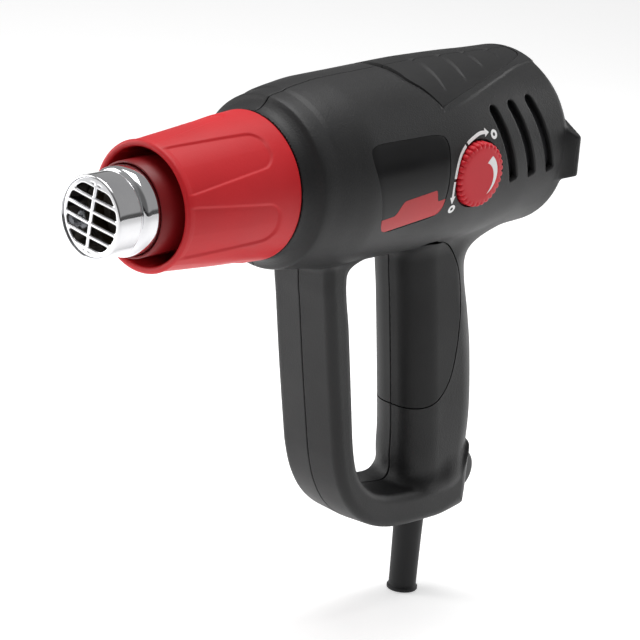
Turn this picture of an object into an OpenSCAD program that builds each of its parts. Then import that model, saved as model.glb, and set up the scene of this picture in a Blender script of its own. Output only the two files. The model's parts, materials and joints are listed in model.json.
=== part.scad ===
// Corded hot-air gun with a closed D-shaped handle, as an assembly of separate pieces.
// Frame: origin at the middle of the nozzle mouth, barrel along +X towards the tail, +Z up.
// The housing is split at y = 0; the heat dial is on the -Y (left) side.

/* [Nozzle] */
// Outside radius of the nozzle tip that accessories slide over
nozzle_r = 17; // [16:0.25:18]
// Length of that tip
tip_length = 12; // [10:0.5:12]
// Outside radius of the nozzle behind the tip
nozzle_rear_r = 18.2; // [18:0.05:18.3]
// Sheet thickness of the nozzle
nozzle_wall = 0.9; // [0.7:0.1:1]
// Thickness of the outlet grille
grille_t = 1.4; // [1:0.1:2]
// Turn of the grille bars from upright
grille_turn = 6; // [0:1:12]

/* [Guard] */
// Distance from the mouth back to the guard's rim
guard_front = 27.7; // [24:0.1:30]
// Inside radius of the guard at its rim
guard_mouth_r = 24.1; // [23.5:0.1:24.5]
// Outside radius of the guard at its rim
guard_rim_r = 27; // [26.5:0.1:27.5]
// Outside radius of the guard at the housing
guard_rear_r = 30.9; // [30.5:0.1:31]
// Distance from the mouth back to the housing
guard_rear = 86.5; // [84:0.1:87]
// Depth of the long panels pressed into the guard
panel_depth = 0.8; // [0.4:0.1:1]
// Number of panels around the guard
panel_count = 6; // [4:1:8]
// Inside radius of the inner heat tube
liner_r = 18.5; // [18.4:0.1:18.7]

/* [Housing] */
// Largest radius of the barrel
barrel_r = 40.5; // [40:0.1:41]
// Distance from the mouth to the tail's rim
tail_x = 243.2; // [242:0.1:244]
// Wall thickness of the two housing halves
wall = 2.6; // [2.2:0.1:2.8]
// Distance from the mouth to the faces of the tail's stand wings
stand_x = 246; // [245:0.1:248]
// How deep the soft pads and plates are let into the housing
inlay_depth = 1.2; // [0.8:0.1:1.4]

/* [Handle] */
// Half of the handle's width
handle_half = 17.2; // [16.5:0.1:18]
// Half of the grip's width
grip_half = 16.2; // [15.5:0.1:16.4]
// Height of the handle's underside below the barrel's axis
handle_low = 166; // [164:0.5:166]
// Number of screws that close the housing
screw_count = 7; // [5:1:7]

/* [Dial] */
// Distance from the mouth back to the dial's axis
dial_x = 183.3; // [180:0.1:185]
// Radius of the dial
dial_r = 13.8; // [12:0.1:14]
// Height of the dial's rim
dial_h = 5.4; // [4:0.1:6]
// Number of grip notches around the dial
dial_notches = 28; // [20:1:32]

/* [Switch] */
// Height of the rocker's pivot below the barrel's axis
rocker_drop = 150; // [149:0.5:151]
// Radius of the rocker's round face
rocker_r = 9.6; // [9:0.1:9.8]
// Half of the rocker's width
rocker_half = 8.2; // [7:0.1:8.4]

/* [Boot] */
// Distance from the mouth back to the cord boot's axis
boot_x = 206.7; // [204:0.1:208]
// Height of the boot's end below the barrel's axis
boot_low = 203.3; // [195:0.1:206]
// Radius of the hole for the cord
cord_hole_r = 3.6; // [3:0.1:4]

/* [Motor and fan] */
// Outside radius of the motor's steel can
motor_r = 18; // [17:0.25:18]
// Radius of the motor's shaft
shaft_r = 1.6; // [1.4:0.05:1.7]
// Running gap between the shaft and what it turns in
running_gap = 0.05; // [0.02:0.01:0.09]
// Radius over the fan's blades
fan_r = 28.8; // [28:0.1:28.9]
// Number of fan blades
blade_count = 7; // [5:1:9]

/* [Heater] */
// Radius of the ceramic former
former_r = 15.6; // [15:0.1:15.8]
// Number of air channels in the former, each with a coil
channel_count = 6; // [4:1:6]
// Radius of each channel
channel_r = 3.4; // [3:0.1:3.6]

/* [Hidden] */
$fn = 72;
e = 0.5;                       // overshoot of a cut past the face it opens
big = 600;                     // larger than the whole tool
fit_gap = 0.1;                 // gap between pieces that sit in one another

// Barrel outline: distance from the mouth, radius
barrel_line = [[87.4, 31], [95.6, 36], [103.1, 37.6], [124.6, 40.1], [178.7, barrel_r],
               [210.8, 39.6], [236, 38.3], [240.5, 36.6], [tail_x, 33]];
rear_wall_x = tail_x - wall;
rib_x = 94.2;                  // ring behind the guard's spigot
rib_t = 2.2;
spigot_hole_r = 29;
duct_hole_r = 28;
duct_rib_x = 138.8;            // ring rib that carries the air duct
cavity_line = [[87, spigot_hole_r], [rib_x, spigot_hole_r], [rib_x, duct_hole_r],
               [rib_x + rib_t, duct_hole_r], [rib_x + rib_t, 33], [104, 37.7 - wall],
               [125, 40.1 - wall], [178.7, barrel_r - wall], [210.8, 39.6 - wall],
               [236, 38.3 - wall], [rear_wall_x, 34]];

// Handle outlines in side view: distance from the mouth, height
strut_front = [[118, -20], [122, -44], [127, -71.9], [132.3, -97.7], [138.3, -127.6], [142.8, -139.4],
               [150, -150], [160, -158.6], [171, -163.6], [184, -handle_low]];
grip_rear = [[226, -handle_low], [229, -163], [229, -122], [225.4, -92.3], [221.3, -73.2], [216.6, -57],
             [215.4, -49], [218.5, -40], [224, -34.6], [232, -31], [232, -20]];
hand_window = [[134, -30], [136.6, -46.6], [140.6, -66.5], [146, -97.7], [150.4, -122], [155, -134.4],
               [163.4, -143], [173, -146.6], [181, -146], [186.6, -142.8], [189.2, -135], [189, -122],
               [186.3, -104.5], [183, -82.2], [180.2, -63.7], [177.6, -49], [175, -30]];
// The part of the side view that is the grip, which is a little narrower than the rest
grip_space = [[170, -10], [240, -10], [240, -130], [214, -143], [196, -149], [170, -149]];
pad_outline = [[181, -41], [198.4, -41.3], [205, -51.5], [209.2, -76.1], [208.2, -96],
               [204, -106.5], [196, -112.4], [190.5, -113], [185.5, -75]];
top_outline = [[161.3, 0], [169.1, -28.8], [200.1, -21.1], [232, -11], [236, -7], [237, 0]];
plate_outline = [[121.2, 20.2], [163, 19.4], [166.6, 14], [165.6, -10], [161, -14.2], [129.5, -18.3]];
wing_back = [[28, 20], [34.4, 16.9], [41.7, 7.8], [40.2, -10], [32.8, -13], [28, -13]];
wing_plan = [[228, 30], [228, 36], [235, 38.2], [240, 39.4], [243.2, 41.2], [243.4, 41.8], [stand_x, 41.8],
             [stand_x, 30]];

// Vent slots, three on each side, leaning back as they go down
slot_count = 3;
slot_pitch = 12.2;
slot_w = 4.6;
slot_top = [197.6, 24.5];
slot_low = [207, -7.5];

// Screws that close the housing: distance from the mouth, height
screw_places = [[131.8, -62], [144.5, -120], [170, -156], [198, -52], [209, -122], [156, 31.5], [222, 31.6]];
screw_r = 1.15;
screw_head_r = 2.7;
boss_r = 2.9;
screw_depth = 12;              // how far the heads sit from the split
post_out = 30;                 // the posts run out to the walls

dial_z = 0.3;
pocket_floor = 35.6;
pocket_r = dial_r + 0.7;
pocket_wall = 2;
dial_back = 36.2;
dial_shaft_r = 3;
pot_back = 24;
pot_r = 8;
shaft_hole_r = 4;

rocker_x = 227.4;
switch_front = 229.2;
switch_back = 213.6;
switch_half_h = 10.1;
switch_half_w = 9.9;
bezel_t = 1.3;
bezel_rim = 1.2;

boot_top = 160.4;
boot_neck_r = 6.1;
boot_r = 6.3;
boot_end_r = 5.8;
boot_flange_r = 7.6;

duct_r = 30.8;
duct_wall = 1.2;
duct_rear = 149;
fan_front = 130;
fan_len = 14;
hub_r = 9;
can_front = 152;
can_rear = 201;
bush_r = 4.95;
bush_hole_r = 5;
shaft_front = 127;
shaft_rear = 209;
magnet_r = 16.9;
armature_r = 14.6;
magnet_t = 1.7;
core_front = 161;
core_rear = 189;
winding_r = 10.5;
commutator_front = 192.2;
commutator_rear = 199;
commutator_r = 4.2;
brush_half = 1.6;
can_nose = 2.5;
mount_front = 166;
mount_rear = 174;
duct_front = 91.6;
duct_mouth_r = 27.3;
blade_lean = 38;
blade_t = 1.4;

// Nozzle, heater and guard
groove_depth = 0.6;
flange_x = 90;
flange_t = 1.2;
flange_r = 26;
grille_x = 0.4;
grille_r = nozzle_r - nozzle_wall - fit_gap;
grille_rim = 2.9;
grille_bar = 1.5;
bar_pitch = 5.2;
liner_front = 20.6;
liner_rear = 84.2;
liner_wall = 1.1;
mica_front = 16.5;
mica_rear = 84;
former_front = 22;
former_rear = 80;
channel_ring_r = 9.6;
heater_rod_r = 1.6;
nut_r = 3.2;
disc_front = 84.5;
disc_rear = 85.8;
cutout_z = 13.3;
cutout_r = 3.6;
panel_width = 40;              // how far a panel goes round, in degrees
panel_turn = 281.5;            // where the middle of the first panel is
panel_front = 29.7;
panel_rear = 76;
panel_front_r = 27.3;
panel_rear_r = 30.4;
spigot_r = 28.7;
spigot_inner_r = 27.4;

// Rear grille, board, switch and cord clamp
rear_disc_r = 24;
vent_r = 21;
vent_half = 1.5;
vent_pitch = 5.4;
board_front = 194;
board_rear = 214;
board_low = -112;
board_top = -64;
board_t = 1.2;
board_face = 0.4;
sink_height = 20;
fin_count = 6;
fin_pitch = 2.7;
dial_socket = 39.6;
notch_r = 0.9;
notch_depth = 0.55;
pivot_r = 1.2;
rocker_gap = 0.35;
tab_z = -147;
clamp_x = [201.6, 211.3];
clamp_z = -153.5;
clamp_y = 3.8;
clamp_t = 3;
clamp_screw_r = 0.8;
clamp_post_r = 1.8;

// Wiring
wire_r = 1.1;
wire_sides = 8;
lead_y = 6;
duct_hole_x = 103;

// ---------- helpers ----------

// Solid turned about the barrel's axis from points of distance and radius
module turned(line) rotate([0, 90, 0]) rotate_extrude() polygon([for (p = line) [p[1], p[0]]]);

// Ring about the barrel's axis
module ring(x0, x1, outer, inner) turned([[x0, inner], [x0, outer], [x1, outer], [x1, inner]]);

// Rod along the barrel's axis
module rod(x0, x1, r) translate([x0, 0, 0]) rotate([0, 90, 0]) cylinder(h = x1 - x0, r = r);

// Side-view outline carried across the tool from y0 to y1
module across(y0, y1) translate([0, y1, 0]) rotate([90, 0, 0]) linear_extrude(y1 - y0) children();

// Round pin across the tool
module cross_pin(x, z, y0, y1, r) translate([x, y1, z]) rotate([90, 0, 0]) cylinder(h = y1 - y0, r = r);

// Everything inside the barrel's surface moved in by depth
module barrel_core(depth)
    turned(concat([[barrel_line[0][0], 0]], [for (p = barrel_line) [p[0], p[1] - depth]], [[tail_x, 0]]));

// Block that holds one side of the split: -1 is left, 1 is right
module side_space(side) translate([-big / 2, side > 0 ? 0 : -big, -big / 2]) cube(big);

// Mirrors a piece drawn for the left side when side is 1
module on_side(side) mirror([0, side > 0 ? 1 : 0, 0]) children();

module box_at(low, high) translate(low) cube(high - low);

// Wire of radius r swept through the points of a route
function unit(v) = v / norm(v);
function heading(route, i) = unit((i < len(route) - 1 ? unit(route[i + 1] - route[i]) : [0, 0, 0])
                                  + (i > 0 ? unit(route[i] - route[i - 1]) : [0, 0, 0]));
function wire_ring(route, i, r) = let (t = heading(route, i), u = unit(cross(t, [0, 1, 0])), v = cross(t, u))
    [for (k = [0 : wire_sides - 1])
        route[i] + r * (cos(360 * k / wire_sides) * u + sin(360 * k / wire_sides) * v)];
function wire_side(i, k) = let (next = (k + 1) % wire_sides, n = i * wire_sides)
    [n + k, n + wire_sides + k, n + wire_sides + next, n + next];
module wire(route, r) {
    rings = len(route);
    polyhedron(points = [for (i = [0 : rings - 1]) each wire_ring(route, i, r)],
               faces = concat([[for (k = [0 : wire_sides - 1]) k]],
                              [for (i = [0 : rings - 2], k = [0 : wire_sides - 1]) wire_side(i, k)],
                              [[for (k = [wire_sides - 1 : -1 : 0]) (rings - 1) * wire_sides + k]]),
               convexity = 4);
}

// ---------- housing ----------

module handle_face() difference() {
    offset(r = 3, $fn = 24) offset(delta = -3) polygon(concat(strut_front, grip_rear));
    polygon(hand_window);
}

module wing() intersection() {
    mirror([0, 1, 0]) translate([0, 0, -30]) linear_extrude(60) polygon(wing_plan);
    translate([220, 0, 0]) rotate([90, 0, 90]) linear_extrude(40)
        polygon([for (p = wing_back) [-p[0], p[1]]]);
}

module slot_face(index) translate([index * slot_pitch, 0]) {
    polygon([slot_top - [slot_w / 2, 0], slot_top + [slot_w / 2, 0], slot_low + [slot_w / 2, 1.4],
             slot_low - [slot_w / 2, 0.6]]);
    translate(slot_top) circle(r = slot_w / 2);
}

module outer_form(side) {
    barrel_core(0);
    across(-handle_half, handle_half) difference() {
        handle_face();
        polygon(grip_space);
    }
    across(-grip_half, grip_half) handle_face();
    on_side(side) wing();
}

module inner_space() {
    turned(concat([[87, 0]], cavity_line, [[rear_wall_x, 0]]));
    across(-grip_half + wall, grip_half - wall) offset(delta = -wall) handle_face();
}

// Posts for the screws, from the split out to the side wall, thicker round the sunk heads
module posts(side) intersection() {
    union() for (i = [0 : screw_count - 1]) {
        cross_pin(screw_places[i][0], screw_places[i][1], -post_out, post_out, boss_r);
        if (side > 0)
            cross_pin(screw_places[i][0], screw_places[i][1], screw_depth - 2, post_out, screw_head_r + 1.5);
    }
    outer_form(side);
}

// Ring ribs that carry the air duct
module duct_ribs() difference() {
    intersection() {
        ring(duct_rib_x, duct_rib_x + rib_t, barrel_r - wall / 2, duct_r + fit_gap);
        barrel_core(1);
    }
    box_at([duct_rib_x - e, -1.5 * lead_y, -barrel_r], [duct_rib_x + rib_t + e, 1.5 * lead_y, -duct_r]);
}

module housing_half(side) difference() {
    intersection() {
        union() {
            difference() {
                outer_form(side);
                inner_space();
            }
            posts(side);
            duct_ribs();
            if (side < 0) {
                intersection() {
                    cross_pin(dial_x, dial_z, -39, -pocket_floor + pocket_wall, pocket_r + pocket_wall);
                    barrel_core(1);
                }
                clamp_posts();
            }
        }
        side_space(side);
    }
    turned([[86, 0], [86, spigot_hole_r], [rib_x, spigot_hole_r], [rib_x, 0]]);
    rod(rear_wall_x - e, tail_x + e, rear_disc_r + 2 * fit_gap);
    on_side(side) {
        across(-60, -20) for (i = [0 : slot_count - 1]) slot_face(i);
        inlay_cut(inlay_depth) linear_extrude(60) polygon(top_outline);
        across(-grip_half - e, -grip_half + inlay_depth) polygon(pad_outline);
        difference() {
            across(-60, -20) polygon(plate_outline);
            barrel_core(0.7);
        }
    }
    switch_cut();
    translate([boot_x, 0, -handle_low - 1]) cylinder(h = 12, r = boot_neck_r + fit_gap);
    screw_cuts(side);
    if (side < 0) {
        cross_pin(dial_x, dial_z, -60, -pocket_floor, pocket_r);
        cross_pin(dial_x, dial_z, -60, -20, shaft_hole_r);
    }
}

module inlay_cut(depth) difference() {
    children();
    barrel_core(depth);
}

module switch_cut() box_at(
    [switch_back - fit_gap, -switch_half_w - fit_gap, -rocker_drop - switch_half_h - fit_gap],
    [switch_front + 4, switch_half_w + fit_gap, -rocker_drop + switch_half_h + fit_gap]);

module screw_cuts(side) for (i = [0 : screw_count - 1]) {
    x = screw_places[i][0];
    z = screw_places[i][1];
    if (side < 0)
        cross_pin(x, z, -10, e, screw_r + running_gap);
    else {
        cross_pin(x, z, -e, screw_depth + e, screw_r + 0.3);
        cross_pin(x, z, screw_depth, 60, screw_head_r + 0.2);
    }
}

module clamp_posts() for (x = clamp_x) difference() {
    cross_pin(x, clamp_z, -grip_half + 1, clamp_y - fit_gap, clamp_post_r);
    cross_pin(x, clamp_z, -4, clamp_y, clamp_screw_r + running_gap);
}

module housing_left() color([0.13, 0.13, 0.14]) housing_half(-1);
module housing_right() color([0.13, 0.13, 0.14]) housing_half(1);

module top_grip(side) color([0.1, 0.1, 0.11]) on_side(side) difference() {
    intersection() {
        linear_extrude(60) offset(delta = -fit_gap) polygon(top_outline);
        barrel_core(0.05);
    }
    barrel_core(inlay_depth - 0.05);
}
module top_grip_left() top_grip(-1);
module top_grip_right() top_grip(1);

module grip_pad(side) color([0.09, 0.09, 0.1]) on_side(side)
    across(-grip_half, -grip_half + inlay_depth - 0.05) offset(delta = -fit_gap) polygon(pad_outline);
module grip_pad_left() grip_pad(-1);
module grip_pad_right() grip_pad(1);

module plate(side) on_side(side) difference() {
    intersection() {
        across(-60, -20) offset(delta = -fit_gap) polygon(plate_outline);
        barrel_core(0.05);
    }
    barrel_core(0.65);
}
module label_plate() color([0.05, 0.05, 0.06]) plate(-1);
module rating_plate() color([0.75, 0.76, 0.78]) plate(1);

// ---------- nozzle and guard ----------

module nozzle_tube() color([0.85, 0.86, 0.88]) turned([
    [0, nozzle_r], [tip_length, nozzle_r], [tip_length + 0.5, nozzle_r - groove_depth],
    [tip_length + 1.3, nozzle_r - groove_depth], [tip_length + 2.4, nozzle_rear_r],
    [flange_x, nozzle_rear_r], [flange_x, flange_r], [flange_x + flange_t, flange_r],
    [flange_x + flange_t, nozzle_rear_r - nozzle_wall],
    [tip_length + 3, nozzle_rear_r - nozzle_wall],
    [tip_length + 1.8, nozzle_r - nozzle_wall - groove_depth],
    [tip_length, nozzle_r - nozzle_wall - groove_depth], [tip_length - 1, nozzle_r - nozzle_wall],
    [0, nozzle_r - nozzle_wall]]);

module grille_slat(z) box_at([0, -nozzle_r, z - grille_bar / 2], [grille_t, nozzle_r, z + grille_bar / 2]);

module nozzle_grille() color([0.85, 0.86, 0.88]) translate([grille_x, 0, 0]) {
    ring(0, grille_t, grille_r, grille_r - grille_rim);
    intersection() {
        rod(0, grille_t, grille_r - grille_rim / 2);
        rotate([grille_turn, 0, 0]) union() {
            rotate([90, 0, 0]) grille_slat(0);
            for (i = [-1.5 : 1 : 1.5]) grille_slat(i * bar_pitch);
        }
    }
}

module liner() color([0.62, 0.1, 0.1]) {
    ring(liner_front, liner_rear, liner_r + liner_wall, liner_r);
    ring(liner_rear - liner_wall, liner_rear, guard_rear_r - 3.1, liner_r + 0.9);
}

// Long panel pressed into the guard, as a wedge-shaped slice of a ring
module guard_panel(turn) rotate([turn - panel_width / 2, 0, 0]) rotate([0, 90, 0])
    rotate_extrude(angle = panel_width) polygon([
        [panel_front_r - panel_depth, panel_front], [guard_rear_r + 1, panel_front],
        [guard_rear_r + 1, panel_rear], [panel_rear_r - panel_depth, panel_rear]]);

module guard() color([0.8, 0.13, 0.14]) difference() {
    turned([[guard_front, guard_mouth_r + 0.5], [guard_front, guard_rim_r - 0.5],
            [guard_front + 1.5, guard_rim_r], [46, 28.4], [66, 29.9], [guard_rear, guard_rear_r],
            [guard_rear, spigot_r], [rib_x - 0.2, spigot_r], [rib_x - 0.2, spigot_inner_r],
            [guard_rear - 0.5, spigot_inner_r], [guard_rear - 2.1, 28], [66, 27.4], [46, 25.6],
            [guard_front + 1.5, guard_mouth_r]]);
    for (i = [0 : panel_count - 1]) guard_panel(panel_turn + i * 360 / panel_count);
}

// ---------- heater ----------

// Repeats a piece drawn about the axis in each of the heater's channels
module in_channels() for (i = [0 : channel_count - 1])
    rotate([i * 360 / channel_count, 0, 0]) translate([0, 0, channel_ring_r]) children();

// Round heater insulator with its air channels and the hole for the rod
module drilled_disc(x0, x1, r) difference() {
    rod(x0, x1, r);
    rod(x0 - e, x1 + e, heater_rod_r + 2 * fit_gap);
    in_channels() rod(x0 - e, x1 + e, channel_r);
}

module hex_nut(x, length) translate([x, 0, 0]) rotate([0, 90, 0]) cylinder(h = length, r = nut_r, $fn = 6);

module mica_sleeve() color([0.75, 0.68, 0.5])
    ring(mica_front, mica_rear, nozzle_rear_r - nozzle_wall - fit_gap, former_r + 0.8);

module heater_former() color([0.92, 0.9, 0.84]) drilled_disc(former_front, former_rear, former_r);

module heater_coils() color([0.55, 0.5, 0.48]) in_channels()
    ring(former_front + 2, former_rear - 2, channel_r - 0.5, channel_r - 1.2);

module heater_rod() color([0.7, 0.7, 0.72]) {
    rod(former_front - 4, disc_rear + 2.7, heater_rod_r);
    hex_nut(former_front - 3, 2.6);
    hex_nut(disc_rear + fit_gap, 2.2);
}

module heater_disc() color([0.78, 0.7, 0.52])
    drilled_disc(disc_front, disc_rear, nozzle_rear_r - nozzle_wall - 2 * fit_gap);

module thermal_cutout() color([0.86, 0.84, 0.78]) rotate([30, 0, 0]) translate([0, 0, cutout_z]) {
    rod(disc_rear + fit_gap, disc_rear + 1.2, 2.6);
    rod(disc_rear + 1.2, disc_rear + 6.2, cutout_r);
}

// ---------- fan and motor ----------

// Cuts the shaft's running hole in what turns on it or carries it
module shaft_hole(x0, x1) rod(x0 - e, x1 + e, shaft_r + running_gap);

module air_duct() color([0.3, 0.3, 0.32]) difference() {
    turned([[duct_front, duct_mouth_r], [100, duct_mouth_r], [112, duct_r], [duct_rear, duct_r],
            [duct_rear, duct_r - duct_wall], [112, duct_r - duct_wall], [100, duct_mouth_r - duct_wall + 0.1],
            [duct_front, duct_mouth_r - duct_wall + 0.1]]);
    for (y = [-lead_y, lead_y]) translate([duct_hole_x, y, -duct_r - 5]) cylinder(h = 16, r = 2);
}

module fan_blade() translate([fan_front + fan_len / 2, 0, 0]) rotate([0, 0, blade_lean])
    box_at([-fan_len, -blade_t / 2, hub_r - 2], [fan_len, blade_t / 2, fan_r + 2]);

module fan_impeller() color([0.85, 0.85, 0.82]) difference() {
    union() {
        rod(fan_front, fan_front + fan_len, hub_r);
        intersection() {
            rod(fan_front, fan_front + fan_len, fan_r);
            for (i = [0 : blade_count - 1]) rotate([i * 360 / blade_count, 0, 0]) fan_blade();
        }
    }
    shaft_hole(fan_front, fan_front + fan_len);
}

module motor_shaft() color([0.75, 0.76, 0.78]) rod(shaft_front, shaft_rear, shaft_r);

module armature() color([0.45, 0.4, 0.36]) difference() {
    union() {
        rod(core_front, core_rear, armature_r);
        rod(core_front - 4, core_rear + 3, winding_r);
    }
    for (i = [0 : 4]) rotate([i * 72, 0, 0])
        box_at([core_front - e, -1.2, winding_r + fit_gap], [core_rear + e, 1.2, armature_r + 1]);
    shaft_hole(core_front - 4, core_rear + 3);
}

module commutator() color([0.75, 0.45, 0.25]) difference() {
    rod(commutator_front, commutator_rear, commutator_r);
    shaft_hole(commutator_front, commutator_rear);
}

module motor_can() color([0.62, 0.63, 0.65]) {
    ring(can_front, can_rear, motor_r, motor_r - 1);
    ring(can_front, can_front + 1.2, motor_r - 0.5, bush_hole_r);
    ring(can_front - can_nose, can_front + 1.2, bush_hole_r + 1.6, bush_hole_r);
}

module motor_magnets() color([0.25, 0.25, 0.27]) for (turn = [30, 210])
    rotate([turn, 0, 0]) rotate([0, 90, 0]) rotate_extrude(angle = 120)
        polygon([[magnet_r - magnet_t, core_front - 2], [magnet_r, core_front - 2],
                 [magnet_r, core_rear + 2], [magnet_r - magnet_t, core_rear + 2]]);

module motor_end_cap() color([0.2, 0.2, 0.22]) {
    ring(can_rear + fit_gap, can_rear + 4, motor_r - 0.2, bush_hole_r);
    ring(can_rear - 1.5, can_rear + 1, motor_r - 1.1, motor_r - 4);
}

module bushing(x0, x1) color([0.8, 0.65, 0.35]) ring(x0, x1, bush_r, shaft_r + running_gap);
module front_bushing() bushing(can_front - can_nose, can_front + 3);
module rear_bushing() bushing(can_rear + fit_gap, can_rear + 5);

// Carbon brush and its holder on one side of the commutator
module brush(side) {
    tip = commutator_r + 0.35;
    box_at([commutator_front + 1.8, side > 0 ? tip : -10, -brush_half],
           [commutator_rear - 1, side > 0 ? 10 : -tip, brush_half]);
    box_at([commutator_rear - 3, side > 0 ? 9 : -12.5, -brush_half - 0.8],
           [can_rear, side > 0 ? 12.5 : -9, brush_half + 0.8]);
}
module motor_brushes() color([0.2, 0.2, 0.22]) for (side = [-1, 1]) brush(side);

module motor_mount() color([0.24, 0.24, 0.26]) {
    ring(mount_front, mount_rear, motor_r + 2.4, motor_r + fit_gap);
    intersection() {
        ring(mount_front, mount_rear, barrel_r - wall - 0.4, motor_r + 1.5);
        for (turn = [-90, 30, 150]) rotate([turn, 0, 0])
            box_at([mount_front, -2, motor_r / 2], [mount_rear, 2, barrel_r]);
    }
}

// One row of the rear grille's openings, either side of its middle bar
module grille_row(z) {
    half = sqrt(pow(vent_r, 2) - pow(abs(z) + vent_half, 2));
    for (y = [[-half, -vent_half], [vent_half, half]])
        box_at([rear_wall_x - 2, y[0], z - vent_half], [tail_x + 1, y[1], z + vent_half]);
}

module rear_grille() color([0.11, 0.11, 0.12]) difference() {
    union() {
        rod(rear_wall_x - 0.2, tail_x, rear_disc_r);
        rod(rear_wall_x - 1.4, rear_wall_x - fit_gap, rear_disc_r + 2);
    }
    for (z = [-3 * vent_pitch : vent_pitch : 3 * vent_pitch]) grille_row(z);
}

module dust_filter() color([0.3, 0.31, 0.33]) rod(rear_wall_x - 2.6, rear_wall_x - 1.5, rear_disc_r + 1.8);

// ---------- controls ----------

module control_board() color([0.1, 0.35, 0.2])
    box_at([board_front, -board_t, board_low], [board_rear, board_face, board_top]);

module capacitor() color([0.85, 0.7, 0.2])
    box_at([board_front + 1.5, board_face, board_top - 16], [board_rear - 2, board_face + 8, board_top - 4]);

module triac_heatsink() color([0.7, 0.71, 0.74]) {
    low = board_low + 4;
    front = board_front + 2.5;
    box_at([front, board_face, low], [front + 15, board_face + 2, low + sink_height]);
    for (i = [0 : fin_count - 1])
        box_at([front + i * fin_pitch, board_face + 1.9, low],
               [front + i * fin_pitch + 1.2, board_face + 9, low + sink_height]);
}

module potentiometer() color([0.2, 0.3, 0.5]) difference() {
    cross_pin(dial_x, dial_z, -pocket_floor + pocket_wall + fit_gap, -pot_back, pot_r);
    cross_pin(dial_x, dial_z, -40, -pot_back - 1.5, dial_shaft_r + running_gap);
}

module dial_shaft() color([0.75, 0.75, 0.72])
    cross_pin(dial_x, dial_z, -dial_socket, -pot_back - 1.9, dial_shaft_r);

module dial() color([0.82, 0.13, 0.15]) difference() {
    cross_pin(dial_x, dial_z, -dial_back - dial_h, -dial_back, dial_r);
    cross_pin(dial_x, dial_z, -dial_socket - 0.2, -dial_back + e, dial_shaft_r + running_gap);
    for (i = [0 : dial_notches - 1])
        translate([dial_x, -dial_back, dial_z]) rotate([0, i * 360 / dial_notches, 0])
            translate([dial_r + notch_r - notch_depth, e, 0]) rotate([90, 0, 0])
                cylinder(h = dial_h + 2 * e, r = notch_r, $fn = 16);
}

module switch_body() color([0.08, 0.08, 0.09]) difference() {
    union() {
        box_at([switch_back, -switch_half_w, -rocker_drop - switch_half_h],
               [switch_front, switch_half_w, -rocker_drop + switch_half_h]);
        box_at([switch_front, -switch_half_w - bezel_rim, -rocker_drop - switch_half_h - bezel_rim],
               [switch_front + bezel_t, switch_half_w + bezel_rim, -rocker_drop + switch_half_h + bezel_rim]);
    }
    cross_pin(rocker_x, -rocker_drop, -rocker_half - rocker_gap, rocker_half + rocker_gap,
              rocker_r + rocker_gap);
    cross_pin(rocker_x, -rocker_drop, -switch_half_w + 0.4, switch_half_w - 0.4, pivot_r + running_gap);
}

module switch_rocker() color([0.12, 0.12, 0.13]) {
    intersection() {
        cross_pin(rocker_x, -rocker_drop, -rocker_half, rocker_half, rocker_r);
        box_at([rocker_x - 3, -2 * rocker_r, -rocker_drop - 2 * rocker_r],
               [rocker_x + 2 * rocker_r, 2 * rocker_r, -rocker_drop + 2 * rocker_r]);
    }
    cross_pin(rocker_x, -rocker_drop, -switch_half_w + 0.6, switch_half_w - 0.6, pivot_r);
}

module switch_terminals() color([0.8, 0.72, 0.45]) for (y = [-lead_y, 0, lead_y])
    box_at([switch_back - 6, y - 0.4, tab_z], [switch_back, y + 0.4, tab_z + 4.8]);

// ---------- cord entry ----------

module cord_boot() color([0.14, 0.14, 0.15]) translate([boot_x, 0, 0]) rotate_extrude() polygon([
    [cord_hole_r, -boot_low], [boot_end_r + 0.9, -boot_low], [boot_end_r + 0.9, -boot_low + 1.8],
    [boot_end_r, -boot_low + 2.2], [boot_r, -handle_low - fit_gap], [boot_neck_r, -handle_low - fit_gap],
    [boot_neck_r, -handle_low + wall + fit_gap], [boot_flange_r, -handle_low + wall + fit_gap],
    [boot_flange_r, -boot_top], [cord_hole_r, -boot_top]]);

module cord_clamp() color([0.2, 0.2, 0.22]) difference() {
    box_at([clamp_x[0] - 2, clamp_y, clamp_z - 2.6], [clamp_x[1] + 1.9, clamp_y + clamp_t, clamp_z + 2.6]);
    for (x = clamp_x) cross_pin(x, clamp_z, clamp_y - 1, clamp_y + clamp_t + 1, clamp_screw_r + 0.15);
    translate([boot_x, 0, clamp_z - 5]) cylinder(h = 10, r = cord_hole_r + 1);
}

module clamp_screws() color([0.75, 0.76, 0.78]) for (x = clamp_x) {
    cross_pin(x, clamp_z, -3.6, clamp_y + clamp_t + 0.2, clamp_screw_r);
    cross_pin(x, clamp_z, clamp_y + clamp_t, clamp_y + clamp_t + 1.4, 2 * clamp_screw_r);
}

// Cross cut in a screw's head
module screw_cross(x, y, z) {
    box_at([x - 1.8, y, z - 0.35], [x + 1.8, y + 2, z + 0.35]);
    box_at([x - 0.35, y, z - 1.8], [x + 0.35, y + 2, z + 1.8]);
}

module housing_screws() color([0.3, 0.3, 0.32]) for (i = [0 : screw_count - 1]) {
    x = screw_places[i][0];
    z = screw_places[i][1];
    cross_pin(x, z, -9.6, screw_depth + 0.2, screw_r);
    difference() {
        cross_pin(x, z, screw_depth, screw_depth + 2, screw_head_r);
        screw_cross(x, screw_depth + 1, z);
    }
}

// The leads from the heater go out through the duct, back under it and down to the board
module heater_leads() color([0.9, 0.9, 0.88]) for (side = [-1, 1])
    wire([[96, side * lead_y, -15], [duct_hole_x, side * lead_y, -22],
          [duct_hole_x, side * lead_y, -32.4], [160, side * lead_y, -33.6],
          [184, side * lead_y, -35.2], [188, side * 5.6, -46], [190.5, side * 5, -56],
          [196, side * 4.6, board_top + 0.5]], wire_r);

module switch_leads() color([0.15, 0.25, 0.5]) for (y = [-lead_y, lead_y])
    wire([[206.4, y, -144.6], [203.6, y, -140], [203.6, y, board_low - 0.6]], wire_r);

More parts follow.
